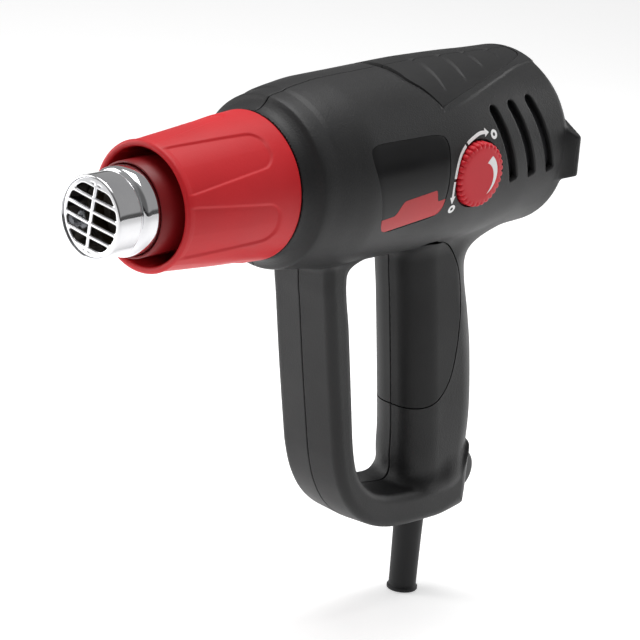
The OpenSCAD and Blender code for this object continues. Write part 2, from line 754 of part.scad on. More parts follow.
housing_left();
housing_right();
top_grip_left();
top_grip_right();
grip_pad_left();
grip_pad_right();
label_plate();
rating_plate();
guard();
liner();
nozzle_tube();
nozzle_grille();
mica_sleeve();
heater_former();
heater_coils();
heater_rod();
heater_disc();
thermal_cutout();
air_duct();
fan_impeller();
motor_shaft();
armature();
commutator();
motor_can();
motor_magnets();
motor_end_cap();
front_bushing();
rear_bushing();
motor_brushes();
motor_mount();
rear_grille();
dust_filter();
control_board();
capacitor();
triac_heatsink();
potentiometer();
dial_shaft();
dial();
switch_body();
switch_rocker();
switch_terminals();
cord_boot();
cord_clamp();
clamp_screws();
housing_screws();
heater_leads();
switch_leads();
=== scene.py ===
"""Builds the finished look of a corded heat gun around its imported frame.

Shapes are worked out in millimetres in the frame's own axes (X back along the barrel, Z up) and become
metres when a mesh is made. Each operator makes one piece, or one group of like pieces.
"""
import json
import math

import bmesh
import bpy
import numpy as np
from mathutils import Matrix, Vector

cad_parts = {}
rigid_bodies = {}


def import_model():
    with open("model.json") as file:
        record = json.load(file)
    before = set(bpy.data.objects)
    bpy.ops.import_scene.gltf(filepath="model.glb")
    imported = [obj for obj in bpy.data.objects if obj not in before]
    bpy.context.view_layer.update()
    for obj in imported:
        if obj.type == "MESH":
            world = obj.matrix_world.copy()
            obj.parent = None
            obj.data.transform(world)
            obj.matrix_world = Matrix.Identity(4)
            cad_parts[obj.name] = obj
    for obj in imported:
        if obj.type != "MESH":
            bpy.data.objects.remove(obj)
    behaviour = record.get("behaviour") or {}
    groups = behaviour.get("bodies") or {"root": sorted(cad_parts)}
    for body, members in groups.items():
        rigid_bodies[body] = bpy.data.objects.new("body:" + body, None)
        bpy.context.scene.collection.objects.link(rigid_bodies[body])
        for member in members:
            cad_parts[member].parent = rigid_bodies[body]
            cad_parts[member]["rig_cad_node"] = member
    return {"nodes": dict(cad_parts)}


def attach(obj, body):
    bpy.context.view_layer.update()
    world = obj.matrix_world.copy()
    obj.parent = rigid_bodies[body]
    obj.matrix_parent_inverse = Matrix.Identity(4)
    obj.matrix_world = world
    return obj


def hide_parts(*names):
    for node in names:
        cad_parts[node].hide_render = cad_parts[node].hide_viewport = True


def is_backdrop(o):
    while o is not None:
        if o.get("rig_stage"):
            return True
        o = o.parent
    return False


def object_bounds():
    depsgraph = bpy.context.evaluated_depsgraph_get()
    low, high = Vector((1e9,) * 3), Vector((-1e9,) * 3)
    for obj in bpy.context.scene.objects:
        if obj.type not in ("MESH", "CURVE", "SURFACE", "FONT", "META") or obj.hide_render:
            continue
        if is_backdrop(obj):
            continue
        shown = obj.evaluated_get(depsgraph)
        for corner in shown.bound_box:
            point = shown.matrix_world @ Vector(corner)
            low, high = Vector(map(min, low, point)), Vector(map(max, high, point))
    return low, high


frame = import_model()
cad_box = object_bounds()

bl_info = {
    "name": "Heat gun",
    "version": (1, 0, 0),
    "blender": (4, 5, 0),
    "location": "View3D > Sidebar > Heat gun",
    "description": "Makes the finished pieces of a corded heat gun around its frame",
    "category": "Add Mesh",
}

MM = 0.001
LEFT, RIGHT = -1.0, 1.0
UP, OUT = np.array([0.0, 0.0, 1.0]), np.array([0.0, -1.0, 0.0])


# ---------------------------------------------------------------------------------------------
# Shape language: curves, fields and meshes worked out as whole arrays
# ---------------------------------------------------------------------------------------------

def ramp(value, start, end):
    """Smooth step from 0 at start to 1 at end: 3t^2 - 2t^3 of the clipped share t."""
    t = np.clip((np.asarray(value, float) - start) / (end - start), 0.0, 1.0)
    return t * t * (3.0 - 2.0 * t)


def eased(points, at):
    """Curve through points of (place, height): a cubic on each span whose slopes are the harmonic
    mean of the neighbouring spans' slopes, so that it never overshoots."""
    place, height = np.array(points, float).T
    span = np.diff(place)
    slope = np.diff(height) / span
    inner = np.where(slope[:-1] * slope[1:] > 0.0,
                     2.0 * slope[:-1] * slope[1:] / np.where(slope[:-1] + slope[1:] == 0.0, 1.0,
                                                            slope[:-1] + slope[1:]), 0.0)
    tangent = np.concatenate([slope[:1], inner, slope[-1:]])
    at = np.clip(at, place[0], place[-1])
    k = np.clip(np.searchsorted(place, at, side="right") - 1, 0, len(span) - 1)
    t = (at - place[k]) / span[k]
    return ((1 + 2 * t) * (1 - t) ** 2 * height[k] + t * (1 - t) ** 2 * span[k] * tangent[k]
            + t * t * (3 - 2 * t) * height[k + 1] + t * t * (t - 1) * span[k] * tangent[k + 1])


def rounded_outline(points, steps=6):
    """Closed Catmull-Rom curve through the points: each span is the cubic whose end slopes are half
    the chord between the neighbours."""
    p = np.array(points, float)
    before, after, beyond = np.roll(p, 1, 0), np.roll(p, -1, 0), np.roll(p, -2, 0)
    t = np.linspace(0.0, 1.0, steps, endpoint=False)[None, :, None]
    a, b, c, d = (q[:, None, :] for q in (before, p, after, beyond))
    curve = 0.5 * (2 * b + (c - a) * t + (2 * a - 5 * b + 4 * c - d) * t ** 2
                   + (3 * b - a - 3 * c + d) * t ** 3)
    return curve.reshape(-1, 2)


def outline_distance(x, z, outline):
    """Distance to a closed outline, negative inside: the least distance to its straight pieces, with
    the side told by how many of them a line to the right crosses."""
    shape = np.broadcast_shapes(np.shape(x), np.shape(z))
    nearest = np.full(shape, np.inf)
    inside = np.zeros(shape, bool)
    for (x0, z0), (x1, z1) in zip(outline, np.roll(outline, -1, 0)):
        run_x, run_z = x1 - x0, z1 - z0
        t = np.clip(((x - x0) * run_x + (z - z0) * run_z) / (run_x ** 2 + run_z ** 2 + 1e-12), 0.0, 1.0)
        nearest = np.minimum(nearest, (x - x0 - run_x * t) ** 2 + (z - z0 - run_z * t) ** 2)
        if run_z:
            inside ^= ((z0 <= z) != (z1 <= z)) & (x < x0 + (z - z0) * run_x / run_z)
    return np.where(inside, -1.0, 1.0) * np.sqrt(nearest)


def blend_min(a, b, blend):
    """Union of two fields with a fillet: the lower one, less blend * h * (1 - h) where they are near."""
    h = np.clip(0.5 + 0.5 * (b - a) / blend, 0.0, 1.0)
    return b * (1 - h) + a * h - blend * h * (1 - h)


def blend_max(a, b, blend):
    """Intersection of two fields with a rounded edge."""
    return -blend_min(-a, -b, blend)


def thick_outline(flat, across, rounding):
    """Field of an outline carried across the tool: the length of how far a point is past both faces
    of a core that is smaller by the rounding."""
    a, b = flat + rounding, across + rounding
    within = np.minimum(np.maximum(a, b), 0.0)
    return within + np.hypot(np.maximum(a, 0.0), np.maximum(b, 0.0)) - rounding


def box_field(x, y, z, middle, half):
    """How far a point is outside a box: the most that it is past any pair of faces."""
    return np.maximum(np.maximum(np.abs(x - middle[0]) - half[0], np.abs(y - middle[1]) - half[1]),
                      np.abs(z - middle[2]) - half[2])


def spaced(*stretches):
    """Grid places from stretches of (start, end, spacing)."""
    parts = [np.linspace(a, b, max(2, round((b - a) / step) + 1))[:-1] for a, b, step in stretches]
    return np.concatenate(parts + [[stretches[-1][1]]])


def flat_field(outline, spacing=0.5):
    """Distance to an outline, worked out once on a fine side-view grid over the handle and read back
    between its points with a smooth cubic, so that the straight pieces of the outline don't show."""
    xs, zs = np.arange(96.0, 262.0, spacing), np.arange(-184.0, 12.0, spacing)
    table = outline_distance(xs[:, None], zs[None, :], outline)

    def weights(t):
        """Shares of the four grid values round a place, by the Catmull-Rom cubic."""
        return (((-t + 2) * t - 1) * t / 2, ((3 * t - 5) * t * t + 2) / 2,
                ((-3 * t + 4) * t + 1) * t / 2, (t - 1) * t * t / 2)

    def read(x, z):
        """The distance at a place: the sum of sixteen grid values by their shares."""
        u = np.clip((np.asarray(x, float) - xs[0]) / spacing, 1.0, len(xs) - 3.001)
        v = np.clip((np.asarray(z, float) - zs[0]) / spacing, 1.0, len(zs) - 3.001)
        i, j = u.astype(int), v.astype(int)
        wu, wv = weights(u - i), weights(v - j)
        return sum(wu[a] * wv[b] * table[i + a - 1, j + b - 1] for a in range(4) for b in range(4))
    return read


def gradient(field, p, step=0.02):
    """Slope of a field at points, by central differences."""
    out = np.empty_like(p)
    for axis in range(3):
        shift = np.zeros(3)
        shift[axis] = step
        ahead, behind = p + shift, p - shift
        out[:, axis] = (field(*ahead.T) - field(*behind.T)) / (2 * step)
    return out


def unit(v):
    """Vectors brought to length 1."""
    return v / np.maximum(np.linalg.norm(v, axis=-1, keepdims=True), 1e-12)


def settle(field, p, rounds=3):
    """Moves points onto the surface where the field is zero, along its slope."""
    for _ in range(rounds):
        slope = gradient(field, p)
        p = p - slope * (field(*p.T) / np.maximum((slope ** 2).sum(1), 0.05))[:, None]
    return p


def field_surface(field, xs, ys, zs):
    """Mesh of the surface where a field is zero. Each grid cell that the surface crosses gets one
    point, the mean of where the cell's edges cross it, moved onto the surface; each crossed grid edge
    gets the face of its four cells."""
    axes = (xs, ys, zs)
    value = field(xs[:, None, None], ys[None, :, None], zs[None, None, :])
    value = np.where(value == 0.0, 1e-9, value)
    cells = tuple(len(a) - 1 for a in axes)
    total = np.zeros(cells + (3,))
    count = np.zeros(cells)
    crossings = []
    for axis in range(3):
        near = np.moveaxis(value, axis, 0)[:-1]
        far = np.moveaxis(value, axis, 0)[1:]
        crossed = (near < 0) != (far < 0)
        share = np.where(crossed, near / np.where(crossed, near - far, 1.0), 0.0)
        a, b = [k for k in range(3) if k != axis]
        low, high = axes[axis][:-1, None, None], axes[axis][1:, None, None]
        place = [None] * 3
        place[axis] = low + share * (high - low)
        place[a] = np.broadcast_to(axes[a][None, :, None], share.shape)
        place[b] = np.broadcast_to(axes[b][None, None, :], share.shape)
        cells_total = np.moveaxis(total, axis, 0)
        cells_count = np.moveaxis(count, axis, 0)
        for i in (slice(None, -1), slice(1, None)):
            for j in (slice(None, -1), slice(1, None)):
                hit = crossed[:, i, j]
                cells_count += hit
                for k in range(3):
                    cells_total[..., k] += np.where(hit, place[k][:, i, j], 0.0)
        crossings.append((axis, a, b, crossed, near < 0))
    used = count > 0
    index = np.full(cells, -1)
    index[used] = np.arange(used.sum())
    points = settle(field, total[used] / count[used][:, None])
    faces = []
    for axis, a, b, crossed, inward in crossings:
        rows, i, j = np.nonzero(crossed[:, 1:-1, 1:-1])
        i, j = i + 1, j + 1
        along = np.moveaxis(index, axis, 0)
        quad = np.stack([along[rows, i - 1, j - 1], along[rows, i, j - 1],
                         along[rows, i, j], along[rows, i - 1, j]], 1)
        turned = inward[rows, i, j] != (axis == 1)
        faces.append(np.where(turned[:, None], quad, quad[:, ::-1]))
    return points, np.concatenate(faces)


def grid_faces(rows, columns, wrap_rows=False, wrap_columns=False, start=0):
    """Quads of a grid of points numbered row by row."""
    r = np.arange(rows if wrap_rows else rows - 1)[:, None]
    c = np.arange(columns if wrap_columns else columns - 1)[None, :]
    r2, c2 = (r + 1) % rows, (c + 1) % columns
    quads = np.stack([r * columns + c, r * columns + c2, r2 * columns + c2, r2 * columns + c], -1)
    return quads.reshape(-1, 4) + start


def slab(top, bottom):
    """Closed solid between two grids of points of the same shape: both grids and a wall round the rim.
    The top grid faces the way its rows cross its columns."""
    rows, columns = top.shape[:2]
    count = rows * columns
    number = np.arange(count).reshape(rows, columns)
    rim = np.concatenate([number[0, :-1], number[:-1, -1], number[-1, :0:-1], number[:0:-1, 0]])
    onward = np.roll(rim, -1)
    wall = np.stack([rim, rim + count, onward + count, onward], 1)
    faces = np.concatenate([grid_faces(rows, columns), grid_faces(rows, columns)[:, ::-1] + count, wall])
    return np.concatenate([top.reshape(-1, 3), bottom.reshape(-1, 3)]), faces


def turned(profile, sides, axis="x", centre=(0.0, 0.0, 0.0), radius_at=None):
    """Solid of a closed profile of (place along the axis, radius) carried round the axis. radius_at
    may change the radius with the angle. A point on the axis is a closed pole."""
    place, radius = np.array(profile, float).T
    angle = np.linspace(0.0, 2 * math.pi, sides, endpoint=False)[None, :]
    r = np.broadcast_to(radius[:, None], (len(place), sides))
    if radius_at is not None:
        r = radius_at(place[:, None], r, angle)
    along = np.broadcast_to(place[:, None], r.shape)
    u, v = r * np.cos(angle), r * np.sin(angle)
    columns = {"x": (along, -u, v), "y": (u, along, v), "z": (u, v, along)}[axis]
    points = np.stack(columns, -1) + np.array(centre)
    return points.reshape(-1, 3), grid_faces(len(place), sides, wrap_rows=True, wrap_columns=True)


def arc(centre, radius, start, end, steps=6):
    """Points on an arc in a profile, by angle in degrees."""
    t = np.radians(np.linspace(start, end, steps))
    return [(centre[0] + radius * c, centre[1] + radius * s) for c, s in zip(np.cos(t), np.sin(t))]


def joined(parts):
    """One mesh of several."""
    points, faces, start = [], [], 0
    for p, f in parts:
        points.append(p)
        faces.append(f + start)
        start += len(p)
    return np.concatenate(points), np.concatenate(faces)


def mirrored(mesh):
    """The same mesh on the other side of the split, its faces turned to point outwards again."""
    p, f = mesh
    return p * np.array([1.0, -1.0, 1.0]), f[:, ::-1]


def on_side(side, mesh):
    """A mesh drawn for the left side, or its mirror image for the right."""
    return mesh if side == LEFT else mirrored(mesh)


def raw_mesh(name, points, faces):
    """A mesh of points in millimetres and faces, with nothing merged."""
    mesh = bpy.data.meshes.new(name)
    mesh.from_pydata((np.asarray(points) * MM).tolist(), [], faces.tolist())
    mesh.update()
    return mesh


def merged(mesh, distance=1e-7):
    """Closes poles and doubled points, drops faces of no area and points every face outwards."""
    work = bmesh.new()
    work.from_mesh(mesh)
    bmesh.ops.remove_doubles(work, verts=work.verts, dist=distance)
    bmesh.ops.dissolve_degenerate(work, edges=work.edges, dist=distance)
    bmesh.ops.recalc_face_normals(work, faces=work.faces)
    work.to_mesh(mesh)
    work.free()
    mesh.update()
    return mesh


def cut_mesh(mesh, cutters):
    """Takes each closed cutter out of a closed mesh, one after another. A cutter is a mesh, or points
    and faces. The solver hands the mesh back as it was when it can't cut, so an unchanged mesh is an
    error."""
    scene = bpy.context.scene
    for number, cutter in enumerate(cutters):
        if not isinstance(cutter, bpy.types.Mesh):
            cutter = merged(raw_mesh("cut_tool", *cutter))
        body = bpy.data.objects.new("cut_body", mesh)
        tool = bpy.data.objects.new("cut_tool", cutter)
        scene.collection.objects.link(body)
        scene.collection.objects.link(tool)
        step = body.modifiers.new("cut", "BOOLEAN")
        step.operation, step.object, step.solver = "DIFFERENCE", tool, "MANIFOLD"
        done = bpy.data.meshes.new_from_object(
            body.evaluated_get(bpy.context.evaluated_depsgraph_get()))
        if len(done.polygons) < 10:
            raise RuntimeError(f"cutter {number} left nothing of {mesh.name}")
        if (len(done.vertices), len(done.polygons)) == (len(mesh.vertices), len(mesh.polygons)):
            raise RuntimeError(f"cutter {number} cut nothing from {mesh.name}")
        for spare in (body, tool):
            spare_mesh = spare.data
            bpy.data.objects.remove(spare)
            bpy.data.meshes.remove(spare_mesh)
        mesh = done
    return mesh


def soft_normals(mesh, field, tolerance):
    """Gives every face that lies on a field's surface the field's own slope for its normals, and leaves
    the others as they are."""
    count = len(mesh.vertices)
    co = np.empty(count * 3, np.float32)
    mesh.vertices.foreach_get("co", co)
    place = co.reshape(-1, 3).astype(float) / MM
    slope = unit(gradient(field, place))
    on = np.abs(field(*place.T)) < tolerance
    loops = len(mesh.loops)
    vertex = np.empty(loops, np.int32)
    mesh.loops.foreach_get("vertex_index", vertex)
    normal = np.array([n.vector[:] for n in mesh.corner_normals])
    starts = np.empty(len(mesh.polygons), np.int32)
    mesh.polygons.foreach_get("loop_start", starts)
    sizes = np.diff(np.append(starts, loops))
    face = np.repeat(np.arange(len(starts)), sizes)
    flat = np.empty(len(mesh.polygons) * 3, np.float32)
    mesh.polygons.foreach_get("normal", flat)
    flat = flat.reshape(-1, 3)
    whole = np.ones(len(starts), bool)
    np.logical_and.at(whole, face, on[vertex])
    agree = (flat[face] * slope[vertex]).sum(1) > 0.5
    good = whole[face] & agree
    normal[good] = slope[vertex[good]]
    mesh.normals_split_custom_set(normal.tolist())


def piece(name, mesh, material, body, replaces=(), smooth=35.0):
    """Puts a finished mesh into the scene as a piece that rides on a body."""
    old = bpy.data.objects.get(name)
    if old is not None and "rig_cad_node" not in old:
        bpy.data.objects.remove(old)
    obj = bpy.data.objects.new(name, mesh)
    bpy.context.scene.collection.objects.link(obj)
    mesh.materials.clear()
    mesh.materials.append(material)
    if smooth:
        mesh.shade_smooth()
        mesh.set_sharp_from_angle(angle=math.radians(smooth))
    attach(obj, body)
    if replaces:
        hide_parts(*replaces)
    return obj


def solid_piece(name, shape, material, body, replaces=(), smooth=35.0, close=1e-7):
    """A piece straight from points and faces."""
    return piece(name, merged(raw_mesh(name, *shape), close), material, body, replaces, smooth)


def field_piece(name, mesh, field, material, body, sharp=None, tolerance=0.03):
    """A piece in place of the frame's node of its name, with its normals from the field that gave its
    surface. Edges past the sharp angle stay hard."""
    mesh.shade_smooth()
    if sharp:
        mesh.set_sharp_from_angle(angle=math.radians(sharp))
    soft_normals(mesh, field, tolerance)
    return piece(name, mesh, material, body, [name], smooth=None)


# ---------------------------------------------------------------------------------------------
# The gun's own form
# ---------------------------------------------------------------------------------------------

BARREL_LINE = [(87.2, 30.95), (89.2, 31.2), (91.4, 32.1), (93.6, 33.8), (95.6, 36.0), (97.6, 36.5),
               (103.1, 37.2), (112.0, 38.5), (124.6, 39.95), (145.0, 40.1), (178.7, 40.45),
               (195.2, 40.1), (210.8, 39.55), (225.2, 38.8), (243.4, 38.2)]
BARREL_R, WING_R, TAIL_R = 40.3, 41.7, 38.3
COLLAR_X, TAIL_X, STAND_X, WING_X = 87.4, 243.2, 246.0, 243.4
TAIL_ROUND, WING_ROUND = 3.6, 0.9
PANEL_HALF = 29.0
PANEL_FRONT = [(0, 161.4), (12.7, 161.3), (21.8, 165.4), (29.0, 169.1)]
PANEL_BACK = [(0, 238.8), (6.5, 238.6), (9.3, 237.2), (12.4, 230.6), (17.1, 218.0), (24.1, 192.0),
              (29.0, 169.1)]
RIDGE_LINE = [(160.0, 32.4), (168.1, 31.2), (188.6, 27.6), (213.3, 21.6), (229.4, 17.1), (241.1, 15.5),
              (250.0, 15.0)]
STEP_RISE, DENT_DEPTH, RIDGE_RISE = 0.55, 1.3, 0.5
FRAME_LINE = [(119.5, -12), (122.0, -44), (124.4, -57.4), (129.7, -86.5), (135.7, -116.3),
              (138.3, -127.6), (142.8, -139.4), (150, -150), (160, -158.2), (171, -163.0),
              (184, -165.3), (205, -165.8), (220, -165.7), (226.2, -164.2), (227.8, -158),
              (228.2, -146), (228.4, -134), (221, -136), (213.5, -142.2), (206, -146.8),
              (196, -148.6), (184, -148.2), (172, -146.4), (163.2, -142.6), (155, -134.4),
              (150.4, -122), (146, -97.7), (140.6, -66.5), (136.6, -46.6), (134, -12)]
GRIP_LINE = [(176, -12), (177.2, -45), (180.2, -63.7), (183, -82.2), (186.3, -104.5),
             (189.2, -126.1), (190.2, -140), (194, -153), (206, -158), (221, -157), (227.6, -148),
             (229.6, -122), (226.2, -92.3), (222.0, -73.2), (217.8, -58), (216.2, -47), (216.4, -36),
             (217, -12)]
FRAME_HALF, GRIP_HALF = 17.1, 15.9
FRAME_ROUND, GRIP_ROUND = 4.0, 12.5
SPLIT_GAP, SPLIT_SHUT, SPLIT_ROUND = 0.15, 0.01, 0.55
HANDLE_CREASE = 0.055
PAD_LINE = [(174.0, -33.6), (184.0, -34.4), (191.2, -36.4), (198.8, -41.3), (205.0, -51.0),
            (208.2, -62.1), (209.4, -76.1), (208.9, -90.8), (206.6, -101.7), (201.4, -109.2),
            (193.4, -113.2), (183.9, -114.0), (172.0, -113.0), (168.0, -72.0)]
pad_outline = rounded_outline(PAD_LINE)
frame_flat = flat_field(rounded_outline(FRAME_LINE))
grip_flat = flat_field(rounded_outline(GRIP_LINE))
pad_flat = flat_field(pad_outline)


def barrel_radius(x, lift):
    """Radius of the barrel at a distance from the mouth: an eased curve, with three small reliefs on
    its upper half. One is a step behind the collar that fades out down the sides, one a dent that
    runs down to the top panel's front edge, and one the raised field round the panel's rear edges.
    lift is the sine of the angle above the horizontal."""
    step = STEP_RISE * (ramp(x, 102.6, 105.2) - 0.9 * ramp(x, 105.0, 126.0)) * ramp(lift, 0.45, 0.92)
    side = BARREL_R * np.sqrt(np.maximum(1.0 - lift ** 2, 0.0))
    share = side / PANEL_HALF
    edge = eased(PANEL_FRONT, side)
    width = 0.2 + 4.0 * np.clip(1.0 - share, 0.0, 1.0) ** 0.8
    dent = DENT_DEPTH * np.clip(1.0 + (x - edge) / width, 0.0, 1.0) * (x < edge + 0.6) \
        * np.clip(1.15 - share, 0.0, 1.0) * (lift > 0.0)
    rise = RIDGE_RISE * ramp(x, 166.0, 196.0)
    raised = rise * ramp(eased(RIDGE_LINE, x) - side, -0.25, 0.75) * (lift > 0.0)
    return eased(BARREL_LINE, x) + step - dent + raised - rise * ramp(lift, 0.6, 0.92)


def barrel_field(x, y, z):
    """How far a point is outside the barrel: its radius less the barrel's, evened out by the slope."""
    r = np.hypot(y, z)
    lift = z / np.maximum(r, 1e-6)
    outline = barrel_radius(x, lift)
    slope = (eased(BARREL_LINE, x + 0.1) - eased(BARREL_LINE, x - 0.1)) / 0.2
    side = (r - outline) / np.sqrt(1 + slope ** 2)
    return np.maximum(blend_max(side, x - TAIL_X, TAIL_ROUND), COLLAR_X - x)


def wing_field(x, y, z):
    """The stand wing at the tail: a valley that leaves the barrel and rises with the square of the way
    back to a flat rim, between a slanted top and a slanted foot. It leaves the barrel further back at
    the top than at the foot."""
    y = np.abs(y)
    start = 237.0 + 4.0 * (z + 11.5) / 28.4
    way = (x - start) / np.maximum(WING_X - start, 1.2)
    barrel = np.minimum(np.sqrt(np.maximum(TAIL_R ** 2 - z ** 2, 0.0)), WING_R)
    flare = barrel + (WING_R - barrel) * np.clip(way, 0.0, 1.0) ** 2 + 2.5 * np.clip(way, -1.0, 0.0)
    groove = 0.35 * np.exp(-((x - 243.5) / 0.45) ** 2)
    side = y - flare + groove
    top = ((y - WING_R) * 6.0 + (z - 8.0) * 10.7) / math.hypot(6.0, 10.7)
    foot = ((y - 40.2) * 3.0 - (z + 10.0) * 7.4) / math.hypot(3.0, 7.4)
    core = blend_max(blend_max(top, foot, 0.6), side, WING_ROUND)
    return np.maximum(blend_max(core, x - STAND_X, WING_ROUND), np.maximum(230.0 - x, 29.0 - y))


def housing_field(x, y, z):
    """How far a point is outside the closed housing: barrel, grip, frame of the handle and wings,
    joined with fillets whose size changes along the tool."""
    side = np.abs(y)
    frame_round = FRAME_ROUND + 4.5 * ramp(x, 205.0, 226.0)
    rails = thick_outline(frame_flat(x, z) + HANDLE_CREASE * side, side - FRAME_HALF, frame_round)
    grip = thick_outline(grip_flat(x, z) + HANDLE_CREASE * side, side - GRIP_HALF, GRIP_ROUND)
    barrel = barrel_field(x, y, z)
    body = blend_min(barrel, grip, 7.0 + 11.0 * ramp(x, 196.0, 222.0))
    scoop = ramp(x, 127.0, 139.0) * ramp(z, -158.0, -147.0) * (1.0 - ramp(x, 210.0, 224.0))
    body = blend_min(body, rails, 0.8 + 1.8 * ramp(z, -60.0, -40.0) + 7.0 * scoop)
    return blend_min(body, wing_field(x, y, z), 1.0)


def half_field(x, y, z):
    """The left half: the housing up to the split, with a small round along the parting edge. The gap
    is only as deep as the edge; below it the halves all but touch, so no light comes through."""
    shell = housing_field(x, y, z)
    gap = SPLIT_SHUT + (SPLIT_GAP - SPLIT_SHUT) * ramp(shell, -1.3, -0.8)
    return blend_max(shell, y + gap, SPLIT_ROUND)


def surface_points(x, z):
    """Points on the barrel's left side over a side-view grid: the radius squared less z squared."""
    y = np.full(np.shape(x), -38.0)
    for _ in range(3):
        r = np.hypot(y, z)
        outline = barrel_radius(x, z / r)
        y = -np.sqrt(np.maximum(outline ** 2 - z ** 2, 1.0))
    return np.stack([np.broadcast_to(x, y.shape), y, np.broadcast_to(z, y.shape)], -1)


def top_points(x, y):
    """Points on the barrel's top over a plan-view grid."""
    z = np.full(np.shape(x), 38.0)
    for _ in range(3):
        outline = barrel_radius(x, z / np.hypot(y, z))
        z = np.sqrt(np.maximum(outline ** 2 - y ** 2, 1.0))
    return np.stack([np.broadcast_to(x, z.shape), np.broadcast_to(y, z.shape), z], -1)


def edged(count, rim=0.02):
    """Places from 0 to 1 with two close together at each end, for a rounded rim."""
    return np.concatenate([[0.0, rim], np.linspace(2.5 * rim, 1 - 2.5 * rim, count), [1 - rim, 1.0]])


def rim_drop(rows, columns, depth):
    """How far each point of a grid is let down to round its rim: all of the depth at the edge, a
    quarter of it one step in."""
    def one(count):
        """The let down of a single row."""
        drop = np.zeros(count)
        drop[[0, -1]] = 1.0
        drop[[1, -2]] = 0.25
        return drop
    return depth * np.maximum(one(rows)[:, None], one(columns)[None, :])


# ---------------------------------------------------------------------------------------------
# Materials
# ---------------------------------------------------------------------------------------------

def socket(group, name, way, kind, value=None):
    """A socket on the outside of a node group, with its value when nothing is linked to it."""
    made = group.interface.new_socket(name=name, in_out=way, socket_type=kind)
    if value is not None:
        made.default_value = value
    return made


def add_node(nodes, kind, values=(), **settings):
    """A shader node with its own settings, and values for its inputs by name or number."""
    node = nodes.new("ShaderNode" + kind)
    for setting, value in settings.items():
        setattr(node, setting, value)
    for place, value in dict(values).items():
        node.inputs[place].default_value = value
    return node


def grain_group():
    """Spark-eroded mould grain: fine noise with coarser pits over it. Gives a height and a mask."""
    group = bpy.data.node_groups.get("MouldGrain")
    if group:
        return group
    group = bpy.data.node_groups.new("MouldGrain", "ShaderNodeTree")
    socket(group, "Vector", "INPUT", "NodeSocketVector")
    socket(group, "Scale", "INPUT", "NodeSocketFloat", 2600.0)
    socket(group, "Pits", "INPUT", "NodeSocketFloat", 0.35)
    socket(group, "Height", "OUTPUT", "NodeSocketFloat")
    socket(group, "Mask", "OUTPUT", "NodeSocketFloat")
    nodes, link = group.nodes, group.links.new
    source, result = nodes.new("NodeGroupInput"), nodes.new("NodeGroupOutput")
    fine = add_node(nodes, "TexNoise", {"Detail": 3.0, "Roughness": 0.6})
    pits = add_node(nodes, "TexVoronoi", feature="SMOOTH_F1")
    coarse = add_node(nodes, "Math", {1: 0.6}, operation="MULTIPLY")
    mix = add_node(nodes, "Mix", data_type="FLOAT")
    link(source.outputs["Vector"], fine.inputs["Vector"])
    link(source.outputs["Vector"], pits.inputs["Vector"])
    link(source.outputs["Scale"], fine.inputs["Scale"])
    link(source.outputs["Scale"], coarse.inputs[0])
    link(coarse.outputs[0], pits.inputs["Scale"])
    link(source.outputs["Pits"], mix.inputs["Factor"])
    link(fine.outputs["Fac"], mix.inputs["A"])
    link(pits.outputs["Distance"], mix.inputs["B"])
    link(mix.outputs["Result"], result.inputs["Height"])
    link(fine.outputs["Fac"], result.inputs["Mask"])
    return group


def handling_group():
    """Marks of use: broad uneven patches and sparse fine scratches, from 0 to 1."""
    group = bpy.data.node_groups.get("Handling")
    if group:
        return group
    group = bpy.data.node_groups.new("Handling", "ShaderNodeTree")
    socket(group, "Vector", "INPUT", "NodeSocketVector")
    socket(group, "Patch Scale", "INPUT", "NodeSocketFloat", 26.0)
    socket(group, "Patches", "OUTPUT", "NodeSocketFloat")
    socket(group, "Scuffs", "OUTPUT", "NodeSocketFloat")
    nodes, link = group.nodes, group.links.new
    source, result = nodes.new("NodeGroupInput"), nodes.new("NodeGroupOutput")
    patch = add_node(nodes, "TexNoise", {"Detail": 4.0})
    spread = add_node(nodes, "MapRange", {"From Min": 0.35, "From Max": 0.68})
    stretch = add_node(nodes, "Mapping", {"Scale": (60.0, 700.0, 900.0), "Rotation": (0.4, 0.9, 0.3)})
    scuff = add_node(nodes, "TexNoise", {"Scale": 1.0, "Detail": 2.0})
    thin = add_node(nodes, "MapRange", {"From Min": 0.66, "From Max": 0.74})
    link(source.outputs["Vector"], patch.inputs["Vector"])
    link(source.outputs["Patch Scale"], patch.inputs["Scale"])
    link(patch.outputs["Fac"], spread.inputs["Value"])
    link(source.outputs["Vector"], stretch.inputs["Vector"])
    link(stretch.outputs["Vector"], scuff.inputs["Vector"])
    link(scuff.outputs["Fac"], thin.inputs["Value"])
    link(spread.outputs["Result"], result.inputs["Patches"])
    link(thin.outputs["Result"], result.inputs["Scuffs"])
    return group


